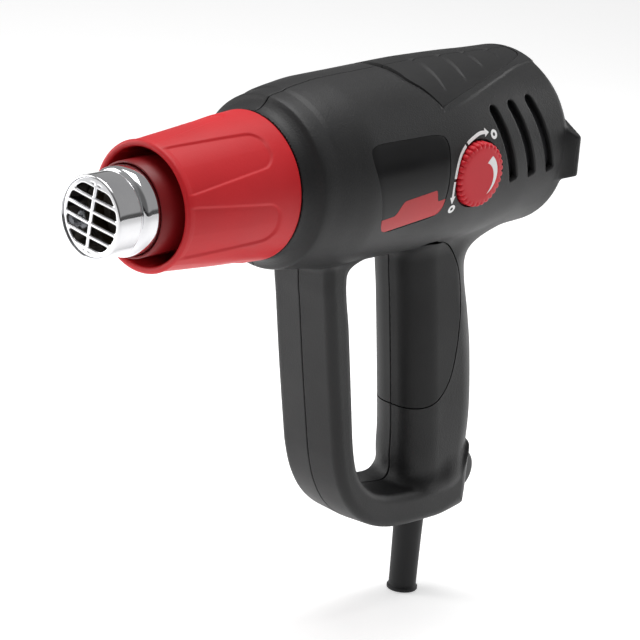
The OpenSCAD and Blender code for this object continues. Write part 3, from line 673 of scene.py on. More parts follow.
def finish(name, colour, dark=None, rough=(0.4, 0.55), grain=2600.0, depth=0.02, pits=0.35,
           metal=0.0, patch=26.0, spec=0.5, coat=0.0, scuffs=0.0, axis=None):
    """A finish from the two shared groups: colour between two tones by patches, roughness between two
    values, and a bump of the grain whose depth is in millimetres. axis draws the grain out along
    x, y or z, as brushing does."""
    material = bpy.data.materials.get(name)
    if material:
        return material
    material = bpy.data.materials.new(name)
    material.use_nodes = True
    nodes, link = material.node_tree.nodes, material.node_tree.links.new
    shader = nodes["Principled BSDF"]
    where = add_node(nodes, "TexCoord").outputs["Object"]
    worn = add_node(nodes, "Group", {"Patch Scale": patch}, node_tree=handling_group())
    link(where, worn.inputs["Vector"])
    fine = add_node(nodes, "Group", {"Scale": grain, "Pits": pits}, node_tree=grain_group())
    if axis:
        draw = add_node(nodes, "Mapping", {"Scale": [0.02 if k == axis else 1.0 for k in "xyz"]})
        link(where, draw.inputs["Vector"])
        link(draw.outputs["Vector"], fine.inputs["Vector"])
    else:
        link(where, fine.inputs["Vector"])
    tone = add_node(nodes, "Mix", {"A": (*(dark or [0.8 * c for c in colour]), 1.0),
                                   "B": (*colour, 1.0)}, data_type="RGBA")
    share = add_node(nodes, "Math", {1: 0.7}, operation="MULTIPLY_ADD")
    link(worn.outputs["Patches"], share.inputs[0])
    speck = add_node(nodes, "Math", {1: 0.5}, operation="MULTIPLY")
    link(fine.outputs["Mask"], speck.inputs[0])
    link(speck.outputs[0], share.inputs[2])
    link(share.outputs[0], tone.inputs["Factor"])
    link(tone.outputs["Result"], shader.inputs["Base Color"])
    blend = add_node(nodes, "Math", {1: scuffs}, operation="MULTIPLY_ADD")
    link(worn.outputs["Scuffs"], blend.inputs[0])
    link(worn.outputs["Patches"], blend.inputs[2])
    level = add_node(nodes, "MapRange", {"To Min": rough[0], "To Max": rough[1]})
    link(blend.outputs[0], level.inputs["Value"])
    link(level.outputs["Result"], shader.inputs["Roughness"])
    bump = add_node(nodes, "Bump", {"Strength": 1.0, "Distance": depth * MM})
    link(fine.outputs["Height"], bump.inputs["Height"])
    link(bump.outputs["Normal"], shader.inputs["Normal"])
    shader.inputs["Metallic"].default_value = metal
    shader.inputs["Specular IOR Level"].default_value = spec
    shader.inputs["Coat Weight"].default_value = coat
    return material


def finishes(colours):
    """Every finish of the gun by name. The housing, the soft grip, the guard, the liner and the label's
    band follow the colours that a user may change."""
    body, red = tuple(colours.housing), tuple(colours.guard)
    return {
        "housing": finish("HousingPlastic", body, rough=(0.44, 0.56), grain=2400.0, depth=0.13,
                          pits=0.5, scuffs=0.2, spec=0.35),
        "soft": finish("SoftGrip", tuple(0.86 * c for c in body), rough=(0.5, 0.62), grain=2000.0,
                       depth=0.06, pits=0.3, spec=0.3),
        "guard": finish("GuardRed", red, dark=[0.86 * c for c in red], rough=(0.42, 0.52),
                        grain=1700.0, depth=0.06, pits=0.4, scuffs=0.15, spec=0.3),
        # The liner gets the guard's red darkened to 0.36. This is painted shade of the deep gap between
        # guard and nozzle.
        "liner": finish("LinerRedPaintedShade", tuple(0.36 * c for c in red), rough=(0.35, 0.45), grain=2400.0,
                        depth=0.02, spec=0.3),
        "dial": finish("DialRed", tuple(colours.dial), rough=(0.4, 0.48), spec=0.3),
        "chrome": finish("NozzleChrome", (0.78, 0.78, 0.79), dark=[0.7, 0.7, 0.72],
                         rough=(0.04, 0.09), grain=900.0, depth=0.0015, pits=0.1, metal=1.0,
                         patch=60.0, scuffs=0.05),
        "label": finish("LabelGloss", (0.006, 0.006, 0.0065), rough=(0.22, 0.3), grain=1800.0,
                        depth=0.006, spec=0.25),
        "print": finish("WhitePrint", tuple(colours.print_white), dark=[0.78, 0.78, 0.78],
                        rough=(0.45, 0.55), grain=3000.0, depth=0.01),
        "label_red": finish("LabelRed", tuple(0.8 * c for c in red), rough=(0.3, 0.38),
                            grain=1800.0, depth=0.006, spec=0.35),
        "silver": finish("RatingFilm", (0.5, 0.51, 0.53), rough=(0.28, 0.4), grain=1800.0,
                         depth=0.004, metal=0.6),
        "black": finish("SwitchBlack", (0.012, 0.012, 0.013), rough=(0.26, 0.36), depth=0.012),
        "rubber": finish("BootRubber", (0.018, 0.018, 0.019), rough=(0.5, 0.66), grain=2000.0,
                         depth=0.05, spec=0.25),
        # The mica keeps its own amber brown, darkened further as painted shade of the heater deep in the
        # barrel. The ceramic, white in itself, is painted dark grey-brown as shade.
        "mica": finish("MicaAmberAndShade", (0.10, 0.075, 0.04), dark=[0.03, 0.022, 0.014], rough=(0.3, 0.5),
                       grain=700.0, patch=120.0),
        "ceramic": finish("CeramicPaintedShade", (0.16, 0.14, 0.12), dark=[0.06, 0.05, 0.04], rough=(0.6, 0.8),
                          grain=1800.0, depth=0.03, patch=90.0),
        "wire": finish("HeaterWire", (0.34, 0.28, 0.25), dark=[0.16, 0.12, 0.11],
                       rough=(0.35, 0.55), grain=2500.0, depth=0.01, metal=1.0),
        "zinc": finish("ZincSteel", (0.62, 0.63, 0.65), rough=(0.22, 0.38), grain=1500.0,
                       depth=0.006, metal=1.0, patch=150.0),
        "black_steel": finish("BlackSteel", (0.06, 0.06, 0.065), rough=(0.3, 0.45), grain=2500.0,
                              depth=0.01, metal=0.8),
        "inner": finish("InnerPlastic", (0.05, 0.05, 0.055), rough=(0.45, 0.6), grain=1600.0,
                        depth=0.03),
        "fan": finish("FanNylon", (0.62, 0.62, 0.57), rough=(0.35, 0.5), grain=1500.0, depth=0.01),
        "core": finish("MotorCore", (0.32, 0.2, 0.11), dark=[0.14, 0.08, 0.05], rough=(0.35, 0.55),
                       grain=1200.0, depth=0.04, metal=0.7, axis="y"),
        "copper": finish("Copper", (0.72, 0.36, 0.18), dark=[0.42, 0.2, 0.12], rough=(0.25, 0.4),
                         grain=1500.0, depth=0.01, metal=1.0, axis="x"),
        "can": finish("MotorCan", (0.52, 0.53, 0.55), rough=(0.25, 0.4), grain=1300.0, depth=0.006,
                      metal=1.0, patch=90.0, axis="x"),
        "ferrite": finish("Ferrite", (0.05, 0.05, 0.052), rough=(0.6, 0.8), grain=1800.0,
                          depth=0.03),
        "bronze": finish("Bronze", (0.55, 0.38, 0.16), grain=2500.0, metal=1.0),
        "foam": finish("FilterFoam", (0.045, 0.045, 0.05), rough=(0.9, 1.0), grain=700.0, depth=0.5,
                       pits=1.0),
        "board": finish("Board", (0.02, 0.13, 0.06), rough=(0.25, 0.4), grain=900.0, depth=0.01,
                        coat=0.2),
        "capacitor": finish("CapacitorCase", (0.62, 0.44, 0.06), rough=(0.3, 0.45), grain=2500.0,
                            depth=0.01),
        "aluminium": finish("HeatSink", (0.68, 0.69, 0.72), rough=(0.3, 0.45), grain=1400.0,
                            depth=0.01, metal=1.0, axis="z"),
        "pot": finish("PotCase", (0.04, 0.09, 0.26), rough=(0.3, 0.45), grain=2500.0, depth=0.01),
        "nylon": finish("ShaftNylon", (0.66, 0.66, 0.62), rough=(0.35, 0.5), grain=2500.0,
                        depth=0.01),
        "brass": finish("BrassTab", (0.74, 0.56, 0.24), rough=(0.25, 0.4), grain=1500.0,
                        depth=0.008, metal=1.0),
        "lead_white": finish("GlassBraid", (0.74, 0.73, 0.68), rough=(0.7, 0.85), grain=1500.0,
                             depth=0.08),
        "lead_blue": finish("BlueLead", (0.04, 0.1, 0.38), rough=(0.35, 0.5), grain=2500.0,
                            depth=0.01),
        "floor": finish("StudioFloor", (0.86, 0.86, 0.86), dark=[0.84, 0.84, 0.84],
                        rough=(0.55, 0.65), grain=400.0, patch=3.0),
    }


# ---------------------------------------------------------------------------------------------
# Properties
# ---------------------------------------------------------------------------------------------

def length(name, description, millimetres, **more):
    """A length that a user may change, shown in the scene's units."""
    return bpy.props.FloatProperty(name=name, description=description, default=millimetres * MM,
                                   unit="LENGTH", subtype="DISTANCE", precision=5, **more)


def tint(name, description, value):
    """A colour that a user may change."""
    return bpy.props.FloatVectorProperty(name=name, description=description, default=value,
                                         subtype="COLOR", min=0.0, max=1.0)


class HeatGunColours(bpy.types.PropertyGroup):
    """The colours that a user would change."""
    housing: tint("Housing", "Dark plastic of the housing", (0.0105, 0.0105, 0.0111))
    guard: tint("Guard", "Red plastic of the guard", (0.60, 0.014, 0.020))
    dial: tint("Dial", "Red plastic of the heat dial", (0.62, 0.012, 0.024))
    print_white: tint("Print", "White of the dial's printed marks", (0.9, 0.9, 0.9))


class HeatGunSizes(bpy.types.PropertyGroup):
    """The sizes that a user would change, and how finely the surfaces are made."""
    housing_cell: length("Housing cell", "Spacing of the housing's surface points", 1.0)
    slot_width: length("Slot width", "Width of each vent slot", 4.7)
    slot_edge: length("Slot edge", "Width of the rounded edge round each slot", 0.8)
    panel_count: bpy.props.IntProperty(name="Panels", description="Number of long panels round the guard",
                                       default=6, min=4, max=8)
    panel_depth: length("Panel depth", "Depth of the long panels in the guard", 0.75)
    groove_depth: length("Groove depth", "Depth of the grooves in the top grip", 1.5)
    inlay_depth: length("Inlay depth", "How deep pads and plates are let in", 1.7)
    dial_notches: bpy.props.IntProperty(name="Dial notches", description="Grip notches round the dial",
                                        default=30, min=12, max=60)


# ---------------------------------------------------------------------------------------------
# Housing
# ---------------------------------------------------------------------------------------------

WALL = 2.6
LABEL_CORNERS = np.array([(118.9, 20.4), (166.2, 19.6), (163.9, -14.6), (129.0, -18.6)])
SCREWS = [(131.8, -62), (144.5, -120), (170, -156), (198, -52), (209, -122), (156, 31.5), (222, 31.6)]
SCREW_SEAT, SCREW_HEAD, SCREW_POST = 12.0, 2.7, 4.6
DIAL_X, DIAL_Z, DIAL_R, POCKET_R, POCKET_FLOOR = 183.3, 0.3, 13.8, 14.5, 35.6
SWITCH_BACK, SWITCH_RIM, SWITCH_FACE = 213.6, 227.7, 228.6
SWITCH_Z, SWITCH_HALF_Y, SWITCH_HALF_Z = -150.0, 10.0, 10.2
BOOT_X, BOOT_NECK, BOOT_LOW = 206.7, 6.2, -203.3
ROCKER_X, GRILLE_R, GRILLE_TURN = 227.4, 24.0, 6.0
LABEL_DEPTH = 0.55
INLAY_SEAT = 0.05
PAD_BOX = (191.3, 0.0, -73.8), (29.3, 23.0, 46.8)
NOZZLE_R, NOZZLE_BORE = 18.2, 17.3
DIAL_FACE, DIAL_BACK, DIAL_STEM = -41.6, -36.3, 3.2
CHANNELS, CHANNEL_RING = 6, 9.6
SCALE_LINE = [(190.6, 16.6), (186.1, 17.0), (180.3, 15.6), (175.2, 13.2), (170.9, 8.9), (168.5, 2.3),
              (168.0, -3.0), (168.3, -6.8), (169.0, -10.6)]
GUARD_LINE = [(27.0, 26.85), (29.2, 27.05), (46.0, 28.4), (66.0, 29.9), (86.5, 30.9)]
PANEL_TURN, PANEL_REAR, PANEL_ROUND = -11.5, 76.2, 6.5
PANEL_ARC = [(27.0, 25.6), (31.0, 25.0), (46.0, 21.6), (60.0, 18.6), (70.0, 16.6), (90.0, 13.5)]
SLOT_PITCH, SLOT_LIFTS = 12.2, (0.0, 0.35, 0.7)
SLOT_LINE = [(-7.6, 207.1), (-4.0, 206.1), (10.4, 201.7), (23.2, 197.9)]


def inner_field(x, y, z):
    """How far a point is outside the hollow of the housing: the outside moved in by the wall, less a
    post round each screw."""
    inside = np.maximum(housing_field(x, y, z) + WALL, 90.5 - x)
    for screw_x, screw_z in SCREWS:
        inside = np.maximum(inside, SCREW_POST - np.hypot(x - screw_x, z - screw_z))
    pocket = np.hypot(x - DIAL_X, z - DIAL_Z) - POCKET_R - 2.0
    inside = np.maximum(inside, np.minimum(-pocket, -y - POCKET_FLOOR + 2.0))
    return np.maximum(inside, y - 1.0)


def block(low, high):
    """Closed box: its eight corners and six faces."""
    (x0, y0, z0), (x1, y1, z1) = low, high
    points = [(x, y, z) for x in (x0, x1) for y, z in ((y0, z0), (y1, z0), (y1, z1), (y0, z1))]
    faces = [(0, 1, 2, 3), (7, 6, 5, 4), (0, 4, 5, 1), (1, 5, 6, 2), (2, 6, 7, 3), (3, 7, 4, 0)]
    return np.array(points, float), np.array(faces)


def pin(axis, centre, low, high, radius, sides=64):
    """Round cutter along an axis, closed at both ends."""
    return turned([(low, 0.0), (low, radius), (high, radius), (high, 0.0)], sides, axis, centre)


def panel_grid(inset, rows, columns, past_split=0.0):
    """Plan-view grid of the left half of the top panel: rows go out from the split, or from past it,
    and columns back from the front edge, pulled in by the inset."""
    if past_split:
        y = np.concatenate([[-past_split], 28.95 * edged(rows)])
    else:
        y = 0.1 + (28.9 - inset) * edged(rows)
    front = eased(PANEL_FRONT, np.maximum(y, 0.0)) + inset
    back = np.maximum(eased(PANEL_BACK, np.maximum(y, 0.0)) - 2.2 * inset, front + 0.15)
    u = edged(columns, 0.003)
    x = front[:, None] + (back - front)[:, None] * u[None, :]
    return x, np.broadcast_to(-y[:, None], x.shape)


GROOVES = [([(0, 178.4), (9.6, 177.1), (16.9, 176.7), (23.9, 176.1)], 23.9),
           ([(0, 194.6), (10.0, 193.1), (21.2, 191.5)], 21.2),
           ([(0, 209.8), (8.4, 208.7), (15.1, 208.1)], 15.1),
           ([(0, 225.7), (4.5, 225.2), (8.9, 224.6)], 8.9)]


def groove_depth(x, y, depth):
    """Depth of the crescent grooves: each has a steep front wall on a curve and a long slope behind
    it, and both its width and its depth run out to a tip."""
    side = np.abs(y)
    total = np.zeros(np.shape(x))
    for line, tip in GROOVES:
        left = np.clip(1.0 - side / tip, 0.0, 1.0)
        behind = x - eased(line, side)
        width = 0.4 + 3.4 * left ** 0.75
        slope = np.clip(1.0 - behind / width, 0.0, 1.0) ** 1.35
        total = np.maximum(total, depth * np.minimum(1.0, 1.6 * left ** 0.6)
                           * ramp(behind, -0.1, 0.12) * slope * (left > 0))
    return total


def pulled(u, v, pull):
    """A square grid whose corners are rounded: each axis is drawn in by the eighth power of the other."""
    return u * (1 - pull * v ** 8), v * (1 - pull * u ** 8)


def label_grid(corners, rows, columns, inset, pull=0.085):
    """Side-view grid over a four-cornered plate with rounded corners."""
    u, v = pulled(*np.meshgrid(2 * edged(columns) - 1, 2 * edged(rows) - 1), pull)
    u, v = 0.5 + 0.5 * u, 0.5 + 0.5 * v
    a, b, c, d = corners
    middle = corners.mean(0)
    a, b, c, d = (p + inset * unit(middle - p) * 1.4 for p in (a, b, c, d))
    place = ((1 - u) * v)[..., None] * a + (u * v)[..., None] * b \
        + (u * (1 - v))[..., None] * c + ((1 - u) * (1 - v))[..., None] * d
    return place[..., 0], place[..., 1]


def slot_loop(half, extra=0.0):
    """Closed side-view outline of one vent slot: up its front edge, round the top, down the back edge
    and along a foot that slants up to the back."""
    z = np.linspace(-6.6 + 0.4 * half, 23.2, 14)
    z_back = np.linspace(-5.2 + 0.2 * half, 23.2, 14)
    front = np.stack([eased(SLOT_LINE, z) - half, z], 1)
    back = np.stack([eased(SLOT_LINE, z_back) + half, z_back], 1)[::-1]
    turn = np.radians(np.linspace(172, 8, 11))
    top = np.stack([197.9 + half * np.cos(turn), 23.2 + half * np.sin(turn)], 1)
    foot_back = back[-1] + (-0.3 * half, -0.62 - extra)
    foot_front = front[0] + (0.25 * half, -0.9 - extra)
    share = np.linspace(0, 1, 6)[:, None]
    foot = foot_back * (1 - share) + foot_front * share
    return np.concatenate([front, top, back, foot])


def sunk_cutter(loop_at, edge, floor):
    """Cutter that follows the barrel's side: an outline carried in from outside the surface, wider at
    the mouth by a quarter round. loop_at gives the outline for a width added all round, and floor the
    place of its inner end from the inner outline's points."""
    levels = [(3.0, edge * 1.3), (0.0, edge)]
    levels += [(-edge * (1 - math.cos(t)), edge * (1 - math.sin(t))) for t in np.radians((20, 40, 60, 80))]
    rings = []
    for out, wider in levels:
        place = surface_points(*loop_at(wider).T)
        rings.append(place + np.array([0.0, -out, 0.0]))
    rings.append(floor(surface_points(*loop_at(0.0).T)))
    middle = [np.broadcast_to(r.mean(0), r.shape) for r in (rings[0], rings[-1])]
    points = np.array([middle[0], *rings, middle[1]])
    rows, columns = points.shape[:2]
    return points.reshape(-1, 3), grid_faces(rows, columns, wrap_columns=True)


def slot_cutter(index, width, edge):
    """Cutter of one vent; each vent is a pitch behind the one before and a little higher."""
    shift = (index * SLOT_PITCH, SLOT_LIFTS[index])
    return sunk_cutter(lambda wider: slot_loop(width / 2 + wider, wider) + shift, edge,
                       lambda ring: ring + np.array([0.0, 7.0, 0.0]))


def pocket_cutter():
    """Cutter of the dial's round pocket, with a flat floor."""
    turn = np.linspace(0, 2 * math.pi, 96, endpoint=False)
    around = np.stack([np.cos(turn), np.sin(turn)], 1)
    return sunk_cutter(lambda wider: (DIAL_X, DIAL_Z) + (POCKET_R + wider) * around, 0.45,
                       lambda ring: ring * (1, 0, 1) + (0, -POCKET_FLOOR, 0))


def prism(outline, y0, y1):
    """A side-view outline carried across the tool, closed at both faces."""
    count = len(outline)
    loops = [np.stack([outline[:, 0], np.full(count, y), outline[:, 1]], 1) for y in (y0, y1)]
    middle = [np.broadcast_to(loop.mean(0), loop.shape) for loop in loops]
    points = np.array([middle[0], loops[0], loops[1], middle[1]])
    return points.reshape(-1, 3), grid_faces(4, count, wrap_columns=True)


class Maker:
    """What every operator here shares: its undo step and quick ways to the sizes and finishes."""
    bl_options = {"REGISTER", "UNDO"}

    def ready(self, context):
        """Reads the sizes and makes the finishes. deep is how far inlays are let in, in millimetres."""
        self.sizes = context.scene.heat_gun_sizes
        self.finish = finishes(context.scene.heat_gun_colours)
        self.deep = self.sizes.inlay_depth / MM


class HEATGUN_OT_housing(Maker, bpy.types.Operator):
    """Moulds the two halves of the housing, with their hollow, vents, recesses and screw holes"""
    bl_idname = "heatgun.housing"
    bl_label = "Housing halves"

    def execute(self, context):
        self.ready(context)
        cell = self.sizes.housing_cell / MM
        # Finer at the collar, along the top panel's front edge, at the tail and at the split.
        xs = spaced((85.8, 104.8, 0.5 * cell), (104.8, 157.8, cell), (157.8, 162.3, 0.75 * cell),
                    (162.3, 230.3, cell), (230.3, 247.3, 0.55 * cell))
        ys = spaced((-43.3, -1.3, cell), (-1.3, 0.7, 0.25 * cell))
        zs = spaced((-168.3, 41.7, cell))
        shell = field_surface(half_field, xs, ys, zs)
        coarse = 1.7 * cell
        hollow = field_surface(inner_field, spaced((86.3, 246.3, coarse)),
                               spaced((-41.3, 3.7, coarse)), spaced((-168.3, 41.7, coarse)))
        pad_skin = field_surface(self.under_pads, spaced((160.3, 222.3, 1.2)),
                                 spaced((-25.3, 25.7, 1.2)), spaced((-122.3, -25.3, 1.2)))
        for side, name in ((LEFT, "housing_left"), (RIGHT, "housing_right")):
            mesh = raw_mesh(name, *on_side(side, shell))
            cutters = [on_side(side, c) for c in [hollow] + self.cutters()]
            cutters += self.dial_cuts() if side == LEFT else self.screw_cuts()
            mesh = cut_mesh(mesh, cutters)
            recess = merged(raw_mesh("recess", *on_side(side, prism(pad_outline, -24.0, 3.0))))
            recess = cut_mesh(recess, [on_side(side, pad_skin)])
            mesh = cut_mesh(mesh, [recess])
            field = half_field if side == LEFT else lambda x, y, z: half_field(x, -y, z)
            field_piece(name, mesh, field, self.finish["housing"], "gun", 32)
        return {"FINISHED"}

    def under_pads(self, x, y, z):
        """How far a point is outside the body under the pads: the housing let in by the inlay depth,
        closed by a box round the grip."""
        return np.maximum(housing_field(x, y, z) + self.deep, box_field(x, y, z, *PAD_BOX))

    def cutters(self):
        """What is cut from both halves, drawn for the left one: vents, the top panel's and the plate's
        recesses, the openings of the collar and the tail, the switch's window and the boot's hole."""
        width, edge = self.sizes.slot_width / MM, self.sizes.slot_edge / MM
        cuts = [slot_cutter(k, width, edge) for k in range(len(SLOT_LIFTS))]
        top = top_points(*panel_grid(0.0, 24, 60, past_split=1.0))
        cuts.append(slab(top + 3.0 * UP, top - self.deep * UP))
        place = surface_points(*label_grid(LABEL_CORNERS, 24, 30, 0.0))
        cuts.append(slab(place + 3.0 * OUT, place - LABEL_DEPTH * OUT))
        cuts.append(pin("x", (0, 0, 0), 84.0, 96.0, 28.9))
        cuts.append(pin("x", (0, 0, 0), 236.0, 250.0, GRILLE_R + 0.3))
        cuts.append(block((SWITCH_BACK - 0.2, -SWITCH_HALF_Y, SWITCH_Z - SWITCH_HALF_Z),
                          (236.0, 2.0, SWITCH_Z + SWITCH_HALF_Z)))
        cuts.append(pin("z", (BOOT_X, 0, 0), -172.0, -158.0, BOOT_NECK + 0.1))
        return cuts

    def dial_cuts(self):
        """The dial's pocket and the hole of its shaft, in the left half."""
        return [pocket_cutter(), pin("y", (DIAL_X, 0, DIAL_Z), -50.0, -20.0, 4.0)]

    def screw_cuts(self):
        """The screws' wells, in the right half."""
        return [pin("y", (x, 0, z), SCREW_SEAT, 60.0, SCREW_HEAD + 0.2) for x, z in SCREWS]


class HEATGUN_OT_top_grips(Maker, bpy.types.Operator):
    """Makes the two soft panels on top, with their crescent grooves"""
    bl_idname = "heatgun.top_grips"
    bl_label = "Top grip panels"

    def execute(self, context):
        self.ready(context)
        x, y = panel_grid(0.22, 76, 300)
        place = top_points(x, y)
        depth = groove_depth(x, y, self.sizes.groove_depth / MM) + rim_drop(*x.shape, 0.16)
        shape = slab(place - depth[..., None] * UP, place - (self.deep - INLAY_SEAT) * UP)
        for side, name in ((LEFT, "top_grip_left"), (RIGHT, "top_grip_right")):
            solid_piece(name, on_side(side, shape), self.finish["soft"], "gun", [name], 40)
        return {"FINISHED"}


class HEATGUN_OT_grip_pads(Maker, bpy.types.Operator):
    """Makes the soft pads let into the sides of the grip"""
    bl_idname = "heatgun.grip_pads"
    bl_label = "Grip pads"

    def execute(self, context):
        self.ready(context)

        def pad_field(x, y, z):
            """The body just under its surface, inside the pad's outline, down to the recess's floor."""
            outside = housing_field(x, y, z)
            outline = np.maximum(pad_flat(x, z) + 0.34, y + 0.12)
            edge = blend_max(outside + 0.02, outline, 0.45)
            return np.maximum(edge, -outside - self.deep + INLAY_SEAT)

        shape = field_surface(pad_field, spaced((165.3, 212.3, 0.6)),
                              spaced((-19.3, -1.3, 0.6), (-1.3, 0.5, 0.2)), spaced((-116.3, -30.3, 0.6)))
        for side, name in ((LEFT, "grip_pad_left"), (RIGHT, "grip_pad_right")):
            mesh = merged(raw_mesh(name, *on_side(side, shape)))
            field_piece(name, mesh, lambda x, y, z: pad_field(x, -side * y, z), self.finish["soft"],
                        "gun", 50)
        return {"FINISHED"}


class HEATGUN_OT_plates(Maker, bpy.types.Operator):
    """Makes the label on the left, its lower band, and the rating plate on the right, all left blank"""
    bl_idname = "heatgun.plates"
    bl_label = "Label and rating plate"

    def execute(self, context):
        self.ready(context)
        x, z = label_grid(LABEL_CORNERS, 50, 56, 0.16)
        place = surface_points(x, z) - (0.12 + rim_drop(*x.shape, 0.1))[..., None] * OUT
        plate = slab(place, surface_points(x, z) - (LABEL_DEPTH - 0.04) * OUT)
        solid_piece("label_plate", plate, self.finish["label"], "gun", ["label_plate"], 40)
        solid_piece("rating_plate", mirrored(plate), self.finish["silver"], "gun", ["rating_plate"],
                    40)
        solid_piece("label_band", self.band(), self.finish["label_red"], "gun")
        return {"FINISHED"}

    def band(self):
        """The lower band: rows between the plate's foot and a line that rises to a flat tab."""
        a, b, c, d = LABEL_CORNERS
        share = edged(56, 0.004)
        foot = d + (c - d) * share[:, None]
        tab = ramp(share, 0.19, 0.36) * (1 - ramp(share, 0.82, 0.88))
        height = 6.6 + 5.4 * tab
        v = edged(14, 0.03)
        rise = height * v[:, None]
        lean_front, lean_back = (a - d)[0] / 39.0, (b - c)[0] / 34.0
        x = foot[:, 0][None, :] + lean_front * (0.5 + rise) * (1 - share) \
            + lean_back * (0.5 + rise) * share
        x = np.clip(x, x[:, :1] + 0.4, x[:, -1:] - 0.4)
        z = foot[:, 1][None, :] + 0.6 + rise
        place = surface_points(x, z)
        return slab(place - 0.07 * OUT, place - 0.2 * OUT)


class HEATGUN_OT_guard(Maker, bpy.types.Operator):
    """Makes the red guard with its six long panels, and the red inner tube"""
    bl_idname = "heatgun.guard"
    bl_label = "Guard and inner tube"

    def execute(self, context):
        self.ready(context)
        count, depth = self.sizes.panel_count, self.sizes.panel_depth / MM
        lip = arc((28.9, 25.5), 1.5, 100, 265, 9)
        outer = [(x, float(eased(GUARD_LINE, x))) for x in
                 np.concatenate([np.linspace(86.4, 76.0, 12), np.linspace(75.4, 30.6, 84)[:-1]])]
        inner = [(x, float(eased(GUARD_LINE, x)) - 2.9) for x in np.linspace(30.0, 85.0, 26)]
        profile = [(94.0, 27.4), (94.0, 28.7), (86.8, 28.7), (86.8, 30.55)] + outer + lip + inner \
            + [(86.0, 27.4)]

        def with_panels(x, r, angle):
            """The radius less the long panels outside, whose arc narrows to the rear, and less the ribs
            inside."""
            theta = np.degrees(angle)
            around = (theta - PANEL_TURN + 180.0 / count) % (360.0 / count) - 180.0 / count
            half = eased(PANEL_ARC, x)
            beside = np.radians(half - np.abs(around)) * r
            behind = PANEL_REAR - x
            corner = PANEL_ROUND - np.hypot(PANEL_ROUND - beside, PANEL_ROUND - behind)
            near = (beside < PANEL_ROUND) & (behind < PANEL_ROUND)
            reach = np.where(near, corner, np.minimum(beside, behind))
            sunk = ramp(reach, -0.3, 0.8) * ramp(x, 29.0, 30.6)
            crown = 0.25 * np.clip(1 - np.abs(around) / np.maximum(half, 1.0), 0.0, 1.0)
            line = eased(GUARD_LINE, np.clip(x, 30.2, 86.4))
            outside = r > line - 0.6
            inside = (r < line - 2.0) * ramp(x, 31.0, 34.0) * (1 - ramp(x, 80.0, 84.0))
            rib = np.clip(1.2 - np.abs((theta + 4.0) % 30.0 - 15.0) / 3.4, 0.0, 1.0)
            return r - depth * sunk * (1 - crown) * outside - 1.1 * rib * inside

        shape = turned(profile, 432, "x", radius_at=with_panels)
        solid_piece("guard", shape, self.finish["guard"], "gun", ["guard"], 44)
        # The inner tube's darker red finish is painted shade of the guard's hollow.
        tube = [(20.6, 18.75), (20.45, 19.05), (20.6, 19.4), (21.0, 19.6), (83.0, 19.6), (83.0, 27.8),
                (84.2, 27.8), (84.2, 18.5), (21.0, 18.5)]
        solid_piece("liner", turned(tube, 144, "x"), self.finish["liner"], "gun", ["liner"], 40)
        return {"FINISHED"}


class HEATGUN_OT_nozzle(Maker, bpy.types.Operator):
    """Draws the chromed nozzle and its outlet grille"""
    bl_idname = "heatgun.nozzle"
    bl_label = "Nozzle and grille"

    def execute(self, context):
        self.ready(context)
        outer = arc((0.8, 16.2), 0.8, 180, 90, 9) + [(4.0, 17.0), (8.0, 17.0), (11.2, 17.0)] \
            + arc((11.4, 16.5), 0.5, 90, 0, 4) + arc((12.5, 16.5), 0.5, 180, 360, 7)[1:-1] \
            + [(13.1, 16.6), (13.5, 17.3), (14.1, 17.85), (15.0, 18.15)] \
            + [(x, NOZZLE_R) for x in (16.4, 30.0, 60.0, 90.0)] \
            + [(90.0, 26.0), (91.2, 26.0), (91.2, NOZZLE_BORE)]
        inner = [(60.0, NOZZLE_BORE), (16.4, NOZZLE_BORE), (14.6, 16.9), (13.4, 15.9), (12.5, 15.6),
                 (11.4, 15.9), (8.0, 16.1), (3.0, 16.1), (1.0, 16.08), (0.3, 16.1)]
        solid_piece("nozzle_tube", turned(outer + inner, 256, "x"), self.finish["chrome"], "gun",
                    ["nozzle_tube"], 60)
        turn = math.radians(GRILLE_TURN)

        def grille_field(x, y, z):
            """A domed plate with slanted bars, one bar across them and a rim."""
            r = np.hypot(y, z)
            dome = 0.45 * (r / 16.0) ** 2
            plate = np.maximum(0.25 + dome - x, x - 1.55 - dome)
            across = y * math.cos(turn) + z * math.sin(turn)
            upright = z * math.cos(turn) - y * math.sin(turn)
            rim = 14.1 - r
            bars = np.minimum(np.abs(across) - 0.85,
                              np.abs((upright / 5.2 - 0.5) - np.round(upright / 5.2 - 0.5)) * 5.2 - 0.8)
            open_shape = blend_min(rim, bars, 1.0)
            return blend_max(blend_max(plate, open_shape, 0.55), r - 16.0, 0.3)

        across = spaced((-16.6, 16.6, 0.33))
        shape = field_surface(grille_field, spaced((-0.3, 3.2, 0.25)), across, across)
        field_piece("nozzle_grille", merged(raw_mesh("nozzle_grille", *shape)), grille_field,
                    self.finish["chrome"], "gun", tolerance=0.1)
        return {"FINISHED"}


